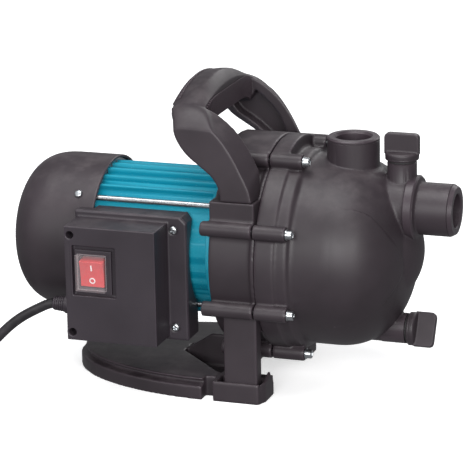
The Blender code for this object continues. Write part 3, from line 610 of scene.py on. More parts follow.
def path_row_tree():
    """Copies of one piece along a line, evenly spaced and turned with it."""
    tree, sockets = new_tree("along_a_line", [("Piece", "Object"), ("Spacing", "Float"),
                                              ("Finish", "Material")])
    given = add(tree, "NodeGroupInput").outputs
    line = add(tree, "GeometryNodeMeshToCurve", {}, {"Mesh": given["Geometry"]})
    even = add(tree, "GeometryNodeResampleCurve", {"mode": "LENGTH"}, {"Curve": line.outputs[0],
                                                                       "Length": given["Spacing"]})
    tangent = add(tree, "GeometryNodeInputTangent")
    turn = add(tree, "FunctionNodeAlignEulerToVector", {"axis": "Y", "pivot_axis": "X"},
               {"Vector": tangent.outputs[0]})
    piece = add(tree, "GeometryNodeObjectInfo", {}, {"Object": given["Piece"]})
    copies = add(tree, "GeometryNodeInstanceOnPoints", {}, {
        "Points": even.outputs[0], "Instance": piece.outputs["Geometry"], "Rotation": turn.outputs[0]})
    real = add(tree, "GeometryNodeRealizeInstances", {}, {"Geometry": copies.outputs[0]})
    done = add(tree, "GeometryNodeSetMaterial", {}, {"Geometry": real.outputs[0],
                                                      "Material": given["Finish"]})
    add(tree, "NodeGroupOutput", {}, {"Geometry": done.outputs[0]})
    return tree, sockets


SHAFT_RING, PATH_ROW = shaft_ring_tree(), path_row_tree()


def repeated(name, tree_and_sockets, values, carrier=None):
    """Runs a tree on a carrier and keeps the result as one plain mesh."""
    tree, sockets = tree_and_sockets
    made = carrier or new_piece(name, bmesh.new())
    made.name = name
    modifier = made.modifiers.new("copies", "NODES")
    modifier.node_group = tree
    for label, value in values.items():
        modifier[sockets[label].identifier] = value
    bake(made)
    bpy.data.objects.remove(values["Piece"], do_unlink=True)
    return made


def along_line(name, piece, places, spacing, finish="black"):
    """Copies of the piece along the line through the places."""
    line = bmesh.new()
    ends = [line.verts.new(place) for place in places]
    for first, second in zip(ends, ends[1:]):
        line.edges.new((first, second))
    return repeated(name, PATH_ROW, {"Piece": piece, "Spacing": spacing * MM, "Finish": FINISHES[finish]},
                    linked(name, line))


def round_shaft(name, piece, count, first, step, finish="black"):
    """The piece is made at its distance from the shaft, towards the switch box, with the shaft at z = 0."""
    return repeated(name, SHAFT_RING, {
        "Piece": piece, "Count": count, "First angle": float(first), "Step angle": float(step),
        "Shaft height": AXIS_Z * MM, "Finish": FINISHES[finish]})


# ---- Pump end ----------------------------------------------------------------------------------

def bell_profile(front):
    """Front half of the pump body, from the flange to the apex."""
    start, apex = BELL_X
    return [(front, 0), (front, FLANGE_R - 0.8), (front + 0.8, FLANGE_R), (108.2, FLANGE_R), (109.4, 86.2),
            (118.0, 86), (119.5, 85), (121.3, BODY_R + 0.4), (124, BODY_R), (start, BODY_R),
            *oval_quarter(start, apex - start, BODY_R, BELL_POWER, 44)]


def waterways():
    """The hollow ends of the pump body: nose, ports and necks."""
    return [
        ellipsoid("nose_room", NOSE_CENTRE, [r - WALL for r in NOSE_RADII]),
        lathe("inlet_bore", [(160, 0), (160, 14.5), (INLET_END_X - 1, 14.5), (INLET_END_X + 1, 16.4),
                             (INLET_END_X + 5, 16.4), (INLET_END_X + 5, 0)], "X", (0, 0, INLET_Z), 96),
        lathe("outlet_bore", [(171.3, 0), (171.3, 15), (OUTLET_TOP_Z - 2, 15), (OUTLET_TOP_Z + 1, 17.4),
                              (OUTLET_TOP_Z + 5, 17.4), (OUTLET_TOP_Z + 5, 0)], "Z", (OUTLET_X, 0, 0), 96),
        rod("fill_bore", 9.3, INLET_Z + 3.1, NECK_END + 5, "Z", (FILL_X, 0, 0)),
        rod("drain_bore", 9.3, 167.7, NECK_END + 5, "X", (0, 0, DRAIN_Z)),
    ]


def port_sleeves():
    """The turned-looking ends of both ports and both necks, which keep their crisp edges."""
    end, top = INLET_END_X, OUTLET_TOP_Z
    inlet = [(190, 0), (190, PORT_R), (213, PORT_R), (214, PORT_R), (end - 4.2, PORT_R),
             (end - 3.9, 22.0), (end - 3.5, 22.3), (end, 20.3), (end, 0)]
    outlet = [(190, 0), (190, PORT_R), (197, PORT_R), (199, PORT_R), (top - 3.2, PORT_R),
              (top - 2.8, 22.1), (top - 2.4, PORT_R), (top - 1.2, PORT_R), (top, 21.2), (top, 0)]
    collar = [(203.5, 0), (203.5, 27.2), (204.3, 28), (210.6, 28), (211.6, 27), (211.6, 0)]
    neck = [(180, 0), (180, 12.6), (NECK_END - 0.6, 12.6), (NECK_END, 12), (NECK_END, 0)]
    return [
        lathe("inlet_sleeve", inlet, "X", (0, 0, INLET_Z), 120),
        lathe("inlet_collar", collar, "X", (0, 0, INLET_Z), 120),
        lathe("outlet_sleeve", outlet, "Z", (OUTLET_X, 0, 0), 120),
        lathe("fill_sleeve", neck, "Z", (FILL_X, 0, 0), 72),
        rod("drain_sleeve", 13.2, 180, NECK_END, "X", (0, 0, DRAIN_Z), 72),
    ]


def swept_face():
    """The slightly raised face of the dome, whose edge sweeps round below the suction port."""
    start, apex = BELL_X
    fade, height, sunk, share = 34, 1.5, 0.35, 0.965
    raised, inner = [(132, 0), (132, 80)], [(122, 0), (122, 76)]
    for x, r in [(start, BODY_R), *oval_quarter(start, apex - start, BODY_R, BELL_POWER, 60)]:
        t = min(max((x - start) / fade, 0), 1)
        rise = height * t * t * (3 - 2 * t) - sunk
        raised.append((start + (x - start) * (1 + rise / (apex - start)), r * (1 + rise / BODY_R)))
        inner.append((start + (x - start) * share, r * share))
    face = lathe("swept_face", raised, steps=240)
    inner = lathe("inner", inner, steps=120)
    edge = [(150, 176, 0), (165, 172, 0), (171, 171.5, 0), (184, 165, 0), (197, 147, 0), (204.5, 127, 0),
            (204, 108, 0), (195, 91, 0), (186, 83, 0), (176.5, 77, 0), (150, 68, 0)]
    outline = [(125, 68), (125, 176)] + [(p.x, p.y) for p in smooth_line(edge, 8)]
    return shape(face, cut=[inner], meet=[prism("window", outline, -95, 95, "Y")])


def pump_casing():
    front = PART_X + 0.2
    casing = lathe("pump_casing_skin", bell_profile(front), steps=200)
    inlet = [(150, 0), (150, 26.5), (203, 26.5), (204.5, 27.4), (211, 27.4), (212.4, 26.6), (213, 22),
             (INLET_END_X - 6, 22), (INLET_END_X - 6, 0)]
    outlet = [(150, 0), (150, 29), (190, 28.4), (192.6, 26), (194, 23.4), (196, 22),
              (OUTLET_TOP_Z - 5, 22), (OUTLET_TOP_Z - 5, 0)]
    join = [
        ellipsoid("nose", NOSE_CENTRE, NOSE_RADII),
        lathe("inlet", inlet, "X", (0, 0, INLET_Z), 96),
        lathe("outlet", outlet, "Z", (OUTLET_X, 0, 0), 96),
        rod("fill_neck", 12.2, 160, NECK_END - 1, "Z", (FILL_X, 0, 0), 64),
        rod("drain_neck", 12.8, 150, NECK_END - 1, "X", (0, 0, DRAIN_Z), 64),
    ]
    join += [sector(f"pad{t}", t, 22.5, (84, PAD_R), (front + 0.2, 107.6)) for t in (90, 270)]
    boss = rod("boss", BOSS_R, front + 0.3, BOLT_FACE_X, "X", (0, -BOLT_CIRCLE_R, 0), 40)
    join.append(round_shaft("bosses", boss, 8, 22.5, 45))
    hole = rod("hole", SCREW_HOLE_R, front - 1, BOLT_FACE_X + 1, "X", (0, -BOLT_CIRCLE_R, 0), 24)
    room = [(front - 1, 0), (front - 1, CHAMBER_R), (BELL_X[0], CHAMBER_R),
            *oval_quarter(BELL_X[0], BELL_X[1] - BELL_X[0] - WALL, CHAMBER_R, BELL_POWER, 20)]
    groove = [(front - 1, 80.5), (front - 1, 84.5), (front + 2.7, 84.5), (front + 2.7, 80.5)]
    cut = [round_shaft("holes", hole, 8, 22.5, 45), lathe("chamber", room, steps=96),
           lathe("groove", groove), *waterways()]
    shape(casing, join, cut)
    moulded(casing, 1.1, 3)
    shape(casing, [swept_face(), *port_sleeves()], waterways())
    casing.data.shade_smooth()
    casing.data.set_sharp_from_angle(angle=math.radians(35))
    return fit(casing, "black", "root", "black_plastic", "pump_casing")


def motor_bracket():
    back, front = RING_X
    ring = [(back, 0), (back, RING_R - 0.8), (back + 0.8, RING_R), (86.6, RING_R), (87.6, 85.4), (88.2, 86),
            (front, 86), (front, 0)]
    bracket = lathe("motor_bracket_skin", ring, steps=200)
    join = [sector(f"pad{t}", t, 22.5, (80.6, PAD_R), (back + 0.6, front - 0.4)) for t in (90, 270)]
    cut = [rod("chamber", CHAMBER_R, 56, front + 1, steps=96), rod("seal_bore", 13, back - 1, 57)]
    for side in (-1, 1):
        join.append(block(f"leg{side}", (61, 90.3), sorted((side * 65.2, side * 78.5)), (6.3, 84.7)))
        join.append(block(f"ear{side}", (50.8, 90.6), sorted((side * 60, side * 80.5)), (142, 176.7)))
        cut.append(rod(f"leg_hole{side}", SCREW_HOLE_R, 5, 17, "Z", (LEG_X, side * LEG_Y, 0), 24))
    boss = rod("boss", BOSS_R, 45.3, front - 0.5, "X", (0, -BOLT_CIRCLE_R, 0), 40)
    hole = rod("hole", SCREW_HOLE_R, 58, front + 1, "X", (0, -BOLT_CIRCLE_R, 0), 24)
    join.append(round_shaft("bosses", boss, 8, 22.5, 45))
    cut.append(round_shaft("holes", hole, 8, 22.5, 45))
    shape(bracket, join, cut)
    moulded(bracket, 1.2, 3)
    return fit(bracket, "black", "root", "black_plastic", "motor_bracket")


def cross_headed(name, radius, height, depth, shank, start):
    """A pan-headed screw along X from its seat at 0, its shank to start, with a cross recess."""
    dome = [(height * math.sin(t), radius * math.cos(t) ** 0.5)
            for t in [math.radians(15 * k) for k in range(6)]]
    profile = [(start, 0), (start, shank), (0, shank), (0, radius - 0.3), (0.3, radius), *dome[1:],
               (height, 0)]
    screw = lathe(name, profile, "X", (0, 0, 0), 40)
    arms = []
    for k in (0, 1):
        sides = ((-0.45, 0.45), (-0.58 * radius, 0.58 * radius))
        arms.append(block("arm", (height - depth, height + 1), sides[k], sides[1 - k]))
    shape(screw, cut=arms)
    screw.data.shade_smooth()
    screw.data.set_sharp_from_angle(angle=math.radians(35))
    return screw


def casing_bolts():
    """Socket-headed bolts with flat washers, one in each boss."""
    seat = BOLT_FACE_X + 0.3
    head = [(59, 0), (59, 1.9), (seat, 1.9), (seat, 4.7), (seat + 1.0, 4.7), (seat + 1.0, 3.9),
            (seat + 5, 3.9), (seat + 5.7, 3.2), (seat + 5.7, 0)]
    bolt = lathe("bolt", head, "X", (0, -BOLT_CIRCLE_R, 0), 40)
    hexagon = [(-BOLT_CIRCLE_R + 2.1 * math.cos(math.radians(60 * k)), 2.1 * math.sin(math.radians(60 * k)))
               for k in range(6)]
    shape(bolt, cut=[prism("socket", hexagon, seat + 2.4, seat + 9, "X")])
    chamfered(bolt, 0.25, 2)
    bolts = round_shaft("casing_bolts", bolt, 8, 22.5, 45, "steel")
    return fit(bolts, "steel", "root", "steel", *[f"casing_bolt_{i}" for i in range(1, 9)])


def winged_plug(name, centre, axis, turn, node):
    """A screw-in plug whose flat wing stands at the given turn, in degrees."""
    profile = [(190, 0), (190, 8.2), (191, 8.6), (202.6, 8.6), (202.9, 13.6), (203.6, 14.5), (204.6, 14.5),
               (205, 14.2), (205.4, 14.5), (208.4, 14.5), (209.6, 13.2), (209.9, 8), (209.9, 0)]
    plug = lathe(name, profile, axis, centre, 96)
    outline = [(-15, 208), (15, 208)]
    for way in (1, -1):
        arc = [(way * (11.2 + 3.8 * math.cos(a)), 221.7 + 3.8 * math.sin(a))
               for a in [math.pi / 2 * k / 8 for k in range(9)]]
        outline += arc if way == 1 else arc[::-1]
    wing = prism("wing", outline, -3.3, 3.3, "Y")
    standing = Matrix.Rotation(math.pi / 2, 4, "Y") if axis == "X" else Matrix.Identity(4)
    wing.data.transform(Matrix.Translation(Vector(centre) * MM)
                        @ Matrix.Rotation(math.radians(turn), 4, axis) @ standing)
    shape(plug, [wing])
    moulded(plug, 0.5, 3)
    return fit(plug, "black", node, "black_plastic", node)


# ---- Motor -------------------------------------------------------------------------------------

def motor_housing():
    """A cast tube with three groups of fins and a channel for each tie rod."""
    lo, hi = HOUSING_X
    tube = lathe("motor_housing_skin", [(lo, 53), (lo, 59), (hi, 59), (hi, 53)], steps=216)
    collar = [(-0.1, 56), (-0.1, FIN_R - 0.5), (0.5, FIN_R), (4.4, FIN_R), (5, FIN_R - 0.5), (5, 56)]
    join = [lathe("collar", [(hi - along, r) for along, r in collar], steps=216)]
    for middle in FIN_GROUPS:
        section = [(-57, -1.9), (-59.4, -1.75), (-60.4, -1.5), (-62.6, -1.35), (-63.4, -1.0), (-63.7, -0.4)]
        section += [(y, -z) for y, z in reversed(section)]
        fin = prism("fin", section, lo + 0.5, hi - 3, "X")
        join.append(round_shaft("fins", fin, 7, middle - 3 * FIN_PITCH, FIN_PITCH))
    channel = rod("channel", 2.9, lo - 1, hi + 1, "X", (0, -ROD_CIRCLE_R, 0), 40)
    shape(tube, join, [round_shaft("rod_channels", channel, 4, FIRST_ROD, 90)])
    chamfered(tube, 0.35, 2, 40)
    return fit(tube, "teal", "root", "teal_enamel", "motor_housing")


def motor_metalwork():
    """The tie rods and the bare front shield."""
    tie = rod("tie", 2.5, -69.7, 49.4, "X", (0, -ROD_CIRCLE_R, 0), 32)
    rods = round_shaft("tie_rods", tie, 4, FIRST_ROD, 90, "steel")
    chamfered(rods, 0.3, 1)
    fit(rods, "steel", "root", "steel", *[f"tie_rod_{i}" for i in range(1, 5)])
    rim = HOUSING_X[1] + 0.3
    front = [(40.3, 16.3), (40.3, 52.7), (rim, 52.7), (rim, 65.9), (rim + 0.6, 66.5), (48.8, 66.5),
             (49.6, 65.7), (49.6, 8), (48.8, 8), (48.8, 16.3)]
    shield = lathe("motor_front_shield_skin", front, steps=180)
    hole = rod("hole", 2.9, 39, 50.6, "X", (0, -ROD_CIRCLE_R, 0), 32)
    shape(shield, cut=[round_shaft("holes", hole, 4, FIRST_ROD, 90)])
    chamfered(shield, 0.3, 2)
    fit(shield, "cast", "root", "cast_aluminium", "motor_front_shield")


def fan_cover():
    """A domed cap with a ring of air slots, and the three screws round its rim."""
    rim, dome, apex = COVER_X
    wall = 2.4
    inner = COVER_R - wall
    outside = [(rim, 0), (rim, COVER_R - 0.6), (rim - 0.6, COVER_R), (dome, COVER_R)]
    outside += [(-x, r) for x, r in oval_quarter(-dome, dome - apex, COVER_R, DOME_POWER, 40)]
    inside = [(rim + 1, 0), (rim + 1, inner), (dome, inner)]
    inside += [(-x, r) for x, r in oval_quarter(-dome, dome - apex - wall, inner - 0.8, DOME_POWER, 30)]
    cover = lathe("fan_cover_skin", outside, steps=200)
    slot = prism("slot", [(-40, 0), (-38, -2.2), (-19, -2.2), (-17, 0), (-19, 2.2), (-38, 2.2)],
                 -170, -128, "X")
    hole = rod("hole", 1.9, -72, -62, "Y", (-79, 0, 0), 24)
    shape(cover, cut=[lathe("room", inside, steps=160), round_shaft("slots", slot, 12, 0, 30),
                      round_shaft("holes", hole, 3, COVER_SCREW_START, 120)])
    moulded(cover, 1.0, 2)
    fit(cover, "black", "root", "black_plastic", "fan_cover")
    screw = cross_headed("screw", 3.6, 2.1, 1.2, 1.5, -8)
    screw.data.transform(Matrix.Translation(Vector((-79, -COVER_R - 0.3, 0)) * MM)
                         @ Matrix.Rotation(-math.pi / 2, 4, "Z"))
    screws = round_shaft("fan_cover_screws", screw, 3, COVER_SCREW_START, 120, "steel")
    fit(screws, "steel", "root", "steel", *[f"fan_cover_screw_{i}" for i in (1, 2, 3)])


# ---- Switch box --------------------------------------------------------------------------------

def terminal_box():
    """Base on the motor barrel, and a deep cover with a recess for the switch."""
    x, z, bevel = BOX_X, BOX_Z, 5
    outline = [(x[0], z[0]), (x[1], z[0]), (x[1], z[1] - bevel), (x[1] - bevel, z[1]), (x[0], z[1])]
    base = prism("terminal_box_base_skin", outline, -67.5, -43, "Y")
    room = block("room", (-58, 20), (-70, -47), (54, 150))
    shape(room, cut=[rod("bulge", 65, -90, 60, steps=96)])
    channel = rod("channel", 3.2, -80, 60, "X", (0, -ROD_CIRCLE_R, 0), 32)
    shape(base, cut=[rod("barrel_room", 62, -90, 60, steps=144), rod("rear_room", 69, -90, -61, steps=144),
                     room, round_shaft("channels", channel, 4, FIRST_ROD, 90)])
    moulded(base, 0.8, 2)
    fit(base, "box", "root", "box_plastic", "terminal_box_base")

    cover = prism("terminal_box_cover_skin", outline, -69, -67.8, "Y")
    lip = prism("lip", [(u + (0.9 if u < 0 else -0.9), v + (0.9 if v < 100 else -0.9)) for u, v in outline],
                -69.8, -68.5, "Y")
    shell = block("shell", BLOCK_X, (BLOCK_FRONT_Y, -68), BLOCK_Z)
    skin = 3
    pocket = block("pocket", (BLOCK_X[0] + skin, BLOCK_X[1] - skin), (BLOCK_FRONT_Y + skin, -60),
                   (BLOCK_Z[0] + skin, BLOCK_Z[1] - skin))
    shape(cover, [shell, lip], [pocket])
    join = [block("recess_wall", (-68, -24.5), (-99.5, -95.4), (89, 137.5))]
    cut = [block("recess", (-66, -26.5), (-110, -97.4), (91, 135.5)),
           block("opening", (-62.3, -33.7), (-110, -90), (94.7, 129.8)),
           rod("fan_room", 69, -90, -69.4, steps=144)]
    line = block("line", (-68.6, -23.9), (-110, -101.5), (88.6, 138))
    shape(line, cut=[block("inner", (-67.9, -24.6), (-111, -100), (89.3, 137.3))])
    cut.append(line)
    for v in POST_Z:
        join.append(rod(f"post{v}", 5.4, -101, -68, "Y", (POST_X, 0, v)))
        cut.append(rod(f"well{v}", 3.4, -110, -72, "Y", (POST_X, 0, v)))
    for v in COVER_SCREW_Z:
        cut.append(rod(f"screw_well{v}", 4.6, -80, -69.1, "Y", (COVER_SCREW_X, 0, v)))
        cut.append(rod(f"screw_hole{v}", 1.9, -75, -60, "Y", (COVER_SCREW_X, 0, v)))
    shape(cover, join, cut)
    moulded(cover, 0.75, 2)
    fit(cover, "box", "root", "box_plastic", "terminal_box_cover")

    for k, v in enumerate(COVER_SCREW_Z):
        screw = cross_headed(f"cover_screw_{k + 1}_head", 3.7, 2.2, 1.2, 1.5, -8)
        turn = Matrix.Rotation(math.radians(20 + 35 * k), 4, "X")
        screw.data.transform(Matrix.Translation(Vector((COVER_SCREW_X, -69.3, v)) * MM)
                             @ Matrix.Rotation(-math.pi / 2, 4, "Z") @ turn)
        fit(screw, "steel", "root", "steel", f"cover_screw_{k + 1}")


def switch():
    """The switch: housing, tilting rocker with its on and off marks, and clear splash boot."""
    housing = block("switch_housing_skin", (-64, -31), (-100.2, -97.7), (93, 131.5))
    body = block("body", (-62, -34), (-98, -74), (95, 129.5))
    well = block("well", (-60.1, -36.6), (-110, -84), (98.2, 126.3))
    shape(housing, [body], [well])
    moulded(housing, 0.5, 2)
    fit(housing, "box", "root", "box_plastic", "switch_housing")

    outline = [(-9.2 - 0.0075 * z * z, z) for z in [0.965 * k for k in range(-12, 13)]]
    rocker = prism("switch_rocker_skin", outline + [(4.5, 11.4), (4.5, -11.4)], -11.6, 9.9, "X")
    chamfered(rocker, 0.5, 3, 45)
    marks = block("on_mark", (-1.4, -0.2), (-10.2, -9.1), (3.2, 8.4))
    circle = [(-9.2, 1.7), (-9.2, 2.7), (-9.9, 2.7), (-9.9, 1.7)]
    ring = lathe("off_mark", circle, "Y", (-0.8, 0, -6), 40)
    place = Matrix.Translation(Vector(ROCKER_PIVOT) * MM) @ Matrix.Rotation(math.radians(ROCKER_TILT), 4, "X")
    for piece in (rocker, marks, ring):
        piece.data.transform(place)
    fit(rocker, "red", "rocker", "red_rocker", "switch_rocker")
    for piece in (marks, ring):
        chamfered(piece, 0.12, 1)
        fit(piece, "mark", "rocker", "red_rocker")

    boot = block("switch_boot_skin", (-61.8, -35.2), (-106.4, -100.5), (96.2, 128.2))
    shape(boot, cut=[block("boot_room", (-60.8, -36.2), (-105.5, -99), (97.2, 127.2))])
    moulded(boot, 0.4, 3)
    fit(boot, "clear", "root", "clear_boot", "switch_boot")


def cable_gland():
    """A nut and a ribbed sleeve round the lead where it leaves the box."""
    y, z = CORD_EXIT[1:]
    seat = BOX_X[0] - 0.3
    hollow = CORD_D / 2 + 0.3
    outer = [(-98.6, hollow), (-98.6, 5.8)]
    for k in range(5):
        at, r = -97.4 + 2 * k, 6.0 + 0.18 * k
        outer += [(at - 0.7, r), (at, r + 0.3), (at + 0.7, r), (at + 1.0, r - 0.5)]
    outer += [(-88, 6.9), (-87.8, 7.8), (-87.2, 8.2), (-82.8, 8.2), (-82.2, 7.8), (-82, 7.2), (seat, 7.2),
              (seat, hollow)]
    gland = lathe("cable_gland_skin", outer, "X", (0, y, z), 64)
    chamfered(gland, 0.2, 1)
    fit(gland, "box", "root", "box_plastic", "cable_gland")


# ---- Foot and handle ---------------------------------------------------------------------------

def foot_arc(inset, steps=96):
    """The half oval at the motor end of the foot."""
    turns = [math.pi / 2 + math.pi * i / steps for i in range(steps + 1)]
    return [(45 + (143 - inset) * math.cos(t), (82 - inset) * math.sin(t)) for t in turns]


def foot_base():
    """The foot: an oval deck with a rim groove, two boxes that hold the legs, and a web between."""
    outline = [(96, 50), (96, 72), (92, 82), *foot_arc(0), (92, -82), (96, -72), (96, -50),
               (57, -46), (57, 46)]
    foot = prism("foot_base_skin", outline, 0, 12)
    blocks, cut = [], []
    for side in (-1, 1):
        wall = [(51, side * 51.5), (51, side * 82), (91.8, side * 82), (95.9, side * 72),
                (95.9, side * 51.5)]
        peak = [(side * 52, 12), (side * 57, 22.5), (side * 72, 17)]
        blocks += [prism(f"wall{side}", wall, 1, 17.6), prism(f"peak{side}", peak, 92.6, 95.6, "X")]
        cut.append(block(f"slot{side}", (41, 51), sorted((side * 70, side * 90)), (-1, 30)))
        cut.append(block(f"recess{side}", (54.5, 92.8), sorted((side * 63, side * 79)), (6, 30)))
        cut.append(rod(f"screw_hole{side}", SCREW_HOLE_R, -1, 7, "Z", (LEG_X, side * LEG_Y, 0), 24))
        cut.append(rod(f"screw_seat{side}", 4.6, -1, 3, "Z", (LEG_X, side * LEG_Y, 0), 32))
    deck = prism("deck", [(49, 78), *foot_arc(4), (49, -78)], 11, 18)
    groove = prism("groove", [(45.5, 85), *foot_arc(-3), (45.5, -85)], 12.5, 16.5)
    shape(groove, cut=[prism("core", [(49.5, 74), *foot_arc(8), (49.5, -74)], 10, 20)])
    pocket = prism("pocket", [(0, -9), (0, 9), (47, 56), (50, 56), (50, -56), (47, -56)], 3, 30)
    rise = [(-1, 2), (0, 17.5), (23, 32.5), (43, 32.5), (47, 24), (49, 15), (56, 10), (56, 2)]
    web = prism("web", rise, -2.6, 2.6, "Y")
    shape(foot, blocks + [deck], [pocket, groove] + cut)
    shape(foot, [web])
    moulded(foot, 1.1, 2)
    return fit(foot, "black", "root", "black_plastic", "foot_base")


GRIP_HALF = 60.0         # half the width between the handle's legs
GRIP_STEPS = 20
# Round the top of the grip in its middle: x, z and how far z has sunk at the legs.
GRIP_TOP = (
    (12, 246, 9), (10, 256, 13), (10.8, 263.3, 16), (17, 267.2, 15), (24, 268.8, 14), (30, 269.6, 15),
    (34, 269.3, 14.5), (38.5, 265.5, 11.5), (42, 261.3, 9),
)
# Edges of a leg, each point as x, z at the grip and x, z at the outside. The crown gives x, drop pairs.
LEG_BACK = (
    (61, 177, 61, 177), (60, 188, 59.5, 187), (53.5, 197.5, 54, 197), (44.7, 204.7, 43.9, 205.6),
    (34.6, 210.8, 35.1, 212.4), (25.5, 216.5, 28.2, 219.7), (18.5, 223, 23.1, 228), (14.5, 231, 20.8, 235),
)
LEG_FRONT = (
    (48, 249.6, 55.5, 237), (55.2, 245.6, 60, 232.5), (63.5, 239.2, 64.5, 227), (71, 231.6, 69.5, 219.5),
    (77.5, 222.6, 74.5, 211), (82.5, 214.4, 79, 202), (86.3, 206.2, 83, 194), (89.3, 198, 86.3, 186),
    (89.6, 177, 88.4, 177),
)
LEG_CROWN = (
    (12, 21.2, 9, 2), (13, 24, 4, 0.5), (25, 30, 0.3, 0), (34, 42, 0.3, 0.2), (42, 52, 3.1, 1),
)
POCKET = (
    (77, 198), (73.5, 207), (69, 218), (62, 227), (54, 234.5), (46, 241), (44.6, 236), (40, 231),
    (28, 228), (26, 226), (31, 220), (39, 215), (48, 209), (57, 201.5), (62, 197.5),
)


def leg_outline(t):
    """A leg's outline, from the grip at t = 0 to its outside at t = 1."""
    top = 255 - 16.5 * t ** 1.8
    made = [(a + (c - a) * t, b + (d - b) * t) for a, b, c, d in LEG_BACK]
    made += [(a + (b - a) * t, top - c - (d - c) * t) for a, b, c, d in LEG_CROWN]
    made += [(a + (c - a) * t, b + (d - b) * t) for a, b, c, d in LEG_FRONT]
    return [(p.x, p.y) for p in smooth_line([(*m, 0) for m in made], 5)]


def grip_low(y):
    """Height of the grip's underside."""
    return 238 - 10 * (abs(y) / GRIP_HALF) ** 6


def carry_handle():
    """The handle: a lofted grip, two lofted legs with pockets, ribs under the grip and ridges on it."""
    grip = []
    for k in range(-GRIP_STEPS, GRIP_STEPS + 1):
        y = GRIP_HALF * k / GRIP_STEPS
        top = [(x, z - sunk * (y / GRIP_HALF) ** 2, 0) for x, z, sunk in GRIP_TOP]
        tuck = 2.2 * (abs(y) / GRIP_HALF) ** 8
        line = [(p.x + tuck * max(0, 1 - (p.x - 9) / 12), y, p.y) for p in smooth_line(top, 5)]
        grip.append([(43, y, grip_low(y)), (16, y, grip_low(y) + 2), *line])
    handle = loft("carry_handle_skin", grip)
    legs, cut = [], [rod("ring_room", RING_R + 2.6, RING_X[0] - 1, 100, steps=160)]
    for side in (-1, 1):
        stations = [(59 + 21.5 * t, t) for t in (0, 0.15, 0.3, 0.45, 0.6, 0.72, 0.82, 0.9, 0.96, 1)]
        legs.append(loft(f"leg{side}", [[(x, side * y, z) for x, z in leg_outline(t)] for y, t in stations]))
        cut.append(prism(f"pocket{side}", POCKET, *sorted((side * 58, side * 70)), "Y"))
    shape(handle, legs, cut)
    moulded(handle, 0.85, 5)
    fit(handle, "black", "root", "black_plastic", "carry_handle")

    rib = block("rib", (-0.6, 0.9), (-0.55, 0.55), (1, 19))
    places = [(42.9, y, grip_low(y)) for y in range(-54, 55, 2)]
    ribs = along_line("grip_ribs", rib, places, 2.2)
    fit(ribs, "black", "root", "black_plastic")

    ridge = lathe("ridge", [(-6.5, 0), (-5.5, 1.0), (0, 1.7), (5.5, 1.0), (6.5, 0)], "Z", (0, 0, 0), 12)
    ridge.data.transform(Matrix.Rotation(math.radians(42), 4, "Y"))
    places = [(12.9, y, 263.6 - 15.6 * (y / GRIP_HALF) ** 2) for y in range(-48, 49, 2)]
    ridges = along_line("grip_ridges", ridge, places, 4.0)
    ridges.data.shade_smooth()
    fit(ridges, "black", "root", "black_plastic")


# ---- Mains lead --------------------------------------------------------------------------------

# From the gland to the floor, and from the coil to the mains plug.
CORD_ROUTE = (
    (-99.0, -66.0, 70.3), (-105.5, -66.2, 68.4), (-112.4, -66.6, 65.0), (-121.7, -67.2, 60.0),
    (-131.1, -68.0, 54.1), (-140.5, -69.0, 46.6), (-149.9, -70.2, 37.4), (-159.0, -71.6, 27.8),
    (-168.5, -73.2, 18.6), (-178.5, -75.2, 11.2), (-189.0, -77.4, 6.6), (-198.0, -79.0, 4.9),
    (-205.0, -79.8, 4.6),
)
TAIL_ROUTE = (
    (-294.0, 9.5, 13.6), (-293.6, 16.0, 14.4), (-292.4, 24.0, 15.8), (-290.6, 32.0, 17.4),
    (-288.6, 39.6, 18.2),
)


def coil_points():
    """Two layers of turns, winding in on the floor and out again on top."""
    made = []
    turns, per_turn = 4.25, 30
    widest, pitch, floor_layer = 56, 8.95, 2.1
    count = int(turns * per_turn)
    for i in range(count + 1):
        at = turns * i / count
        angle = math.radians(-90 - 360 * at)
        climb = min(max((at - 2.0) / 0.25, 0), 1)
        climb = climb * climb * (3 - 2 * climb)
        radius = widest - pitch * min(at, floor_layer) + pitch * max(at - floor_layer - 0.05, 0)
        made.append((COIL_CENTRE[0] + radius * math.cos(angle), COIL_CENTRE[1] + radius * math.sin(angle),
                     4.6 + CORD_D * climb))
    return made


def mains_lead():
    """The lead as one curve from the gland to the mains plug."""
    route = [*CORD_ROUTE, (-216.0, -80.0, 4.6), (-227.0, -80.1, 4.6), *coil_points(), (-294.1, -12, 13.4),
             (-294.1, -1, 13.4), *TAIL_ROUTE]
    points = smooth_line(route, 3)
    length = sum((b - a).length for a, b in zip(points, points[1:])) * MM
    data = bpy.data.curves.new("mains_lead", "CURVE")
    data.dimensions = "3D"
    data.bevel_depth, data.bevel_resolution, data.use_fill_caps = CORD_D / 2 * MM, 6, True
    spline = data.splines.new("POLY")
    spline.points.add(len(points) - 1)
    for place, point in zip(spline.points, points):
        place.co = (*(point * MM), 1)
    lead = bpy.data.objects.new("mains_lead", data)
    bpy.context.scene.collection.objects.link(lead)
    fit(lead, "cable", "root", "cable_rubber", "power_cord", "cord_coil", "cord_tail")
    plug_pieces = mains_plug()
    return lead


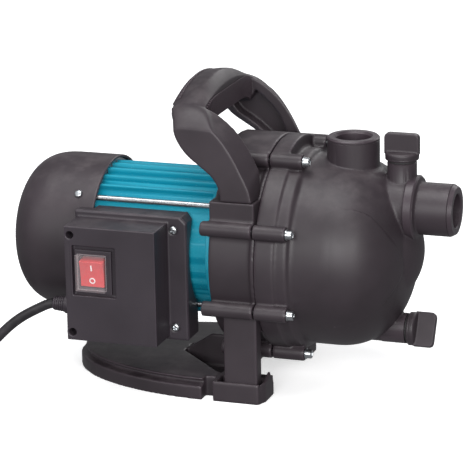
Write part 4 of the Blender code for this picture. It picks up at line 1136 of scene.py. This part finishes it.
def mains_plug():
    """The mains plug at the end of the lead, and its two pins."""
    start, end = Vector(TAIL_ROUTE[-2]), Vector(TAIL_ROUTE[-1])
    way = end - start
    way.z = 0
    profile = [(0.8, 0), (0.8, 5), (4, 5.4), (5, 6.6), (7, 6.6), (8, 5.8), (10, 7), (12, 7), (13, 6.2),
               (15, 7.4), (17, 7.4), (18, 6.6), (20, 7.5), (22, 14), (26, 17.2), (30, 18), (46, 18),
               (48.6, 17.4), (50, 16), (50, 0)]
    plug = lathe("mains_plug_skin", profile, "X", (0, 0, 0), 64)
    pins = []
    for side in (-1, 1):
        pins.append(lathe(f"pin{side}", [(48, 0), (48, 2.4), (67.6, 2.4), (69, 1.2), (69, 0)], "X",
                          (0, side * 9.5, 0), 24))
    flats = [block("flat", (28, 60), sorted((s * 15.2, s * 20)), (-20, 20)) for s in (-1, 1)]
    shape(plug, cut=flats)
    moulded(plug, 0.8, 2)
    turn = Vector((1, 0, 0)).rotation_difference(way.normalized()).to_matrix().to_4x4()
    for piece in (plug, *pins):
        piece.data.transform(Matrix.Translation(end * MM) @ turn)
    fit(plug, "box", "root", "box_plastic", "mains_plug")
    for k, pin in enumerate(pins):
        pin.name = f"plug_pin_{k + 1}"
        chamfered(pin, 0.2, 1)
        fit(pin, "brass", "root", "brass")
    return [plug, *pins]


# ---- The CAD pieces that stay ------------------------------------------------------------------

KEPT = {
    "rubber": ("casing_gasket", "fill_plug_gasket", "drain_plug_gasket"),
    "ceramic": ("seal_seat",), "carbon": ("seal_rotating_ring",), "brass": ("impeller",),
    "inner": ("diffuser", "jet_nozzle", "cooling_fan"), "cast": ("motor_rear_shield",),
    "turned": ("motor_shaft", "bearing_front", "bearing_rear"), "lamination": ("rotor_core", "stator_core"),
    "copper": ("winding_front", "winding_rear"), "capacitor": ("run_capacitor",),
    "steel": ("foot_screw_1", "foot_screw_2"),
}


def refinish_kept():
    """Gives the CAD pieces that stay their finishes."""
    for finish, names in KEPT.items():
        for name in names:
            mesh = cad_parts[name].data
            mesh.materials.clear()
            mesh.materials.append(FINISHES[finish])


set_camera()
mains_lead()
set_light()
lay_floor()
pump_casing()
motor_bracket()
casing_bolts()
winged_plug("fill_plug_skin", (FILL_X, 0, 0), "Z", 0, "fill_plug")
winged_plug("drain_plug_skin", (0, 0, DRAIN_Z), "X", -29, "drain_plug")
motor_housing()
motor_metalwork()
fan_cover()
terminal_box()
switch()
cable_gland()
foot_base()
carry_handle()
refinish_kept()
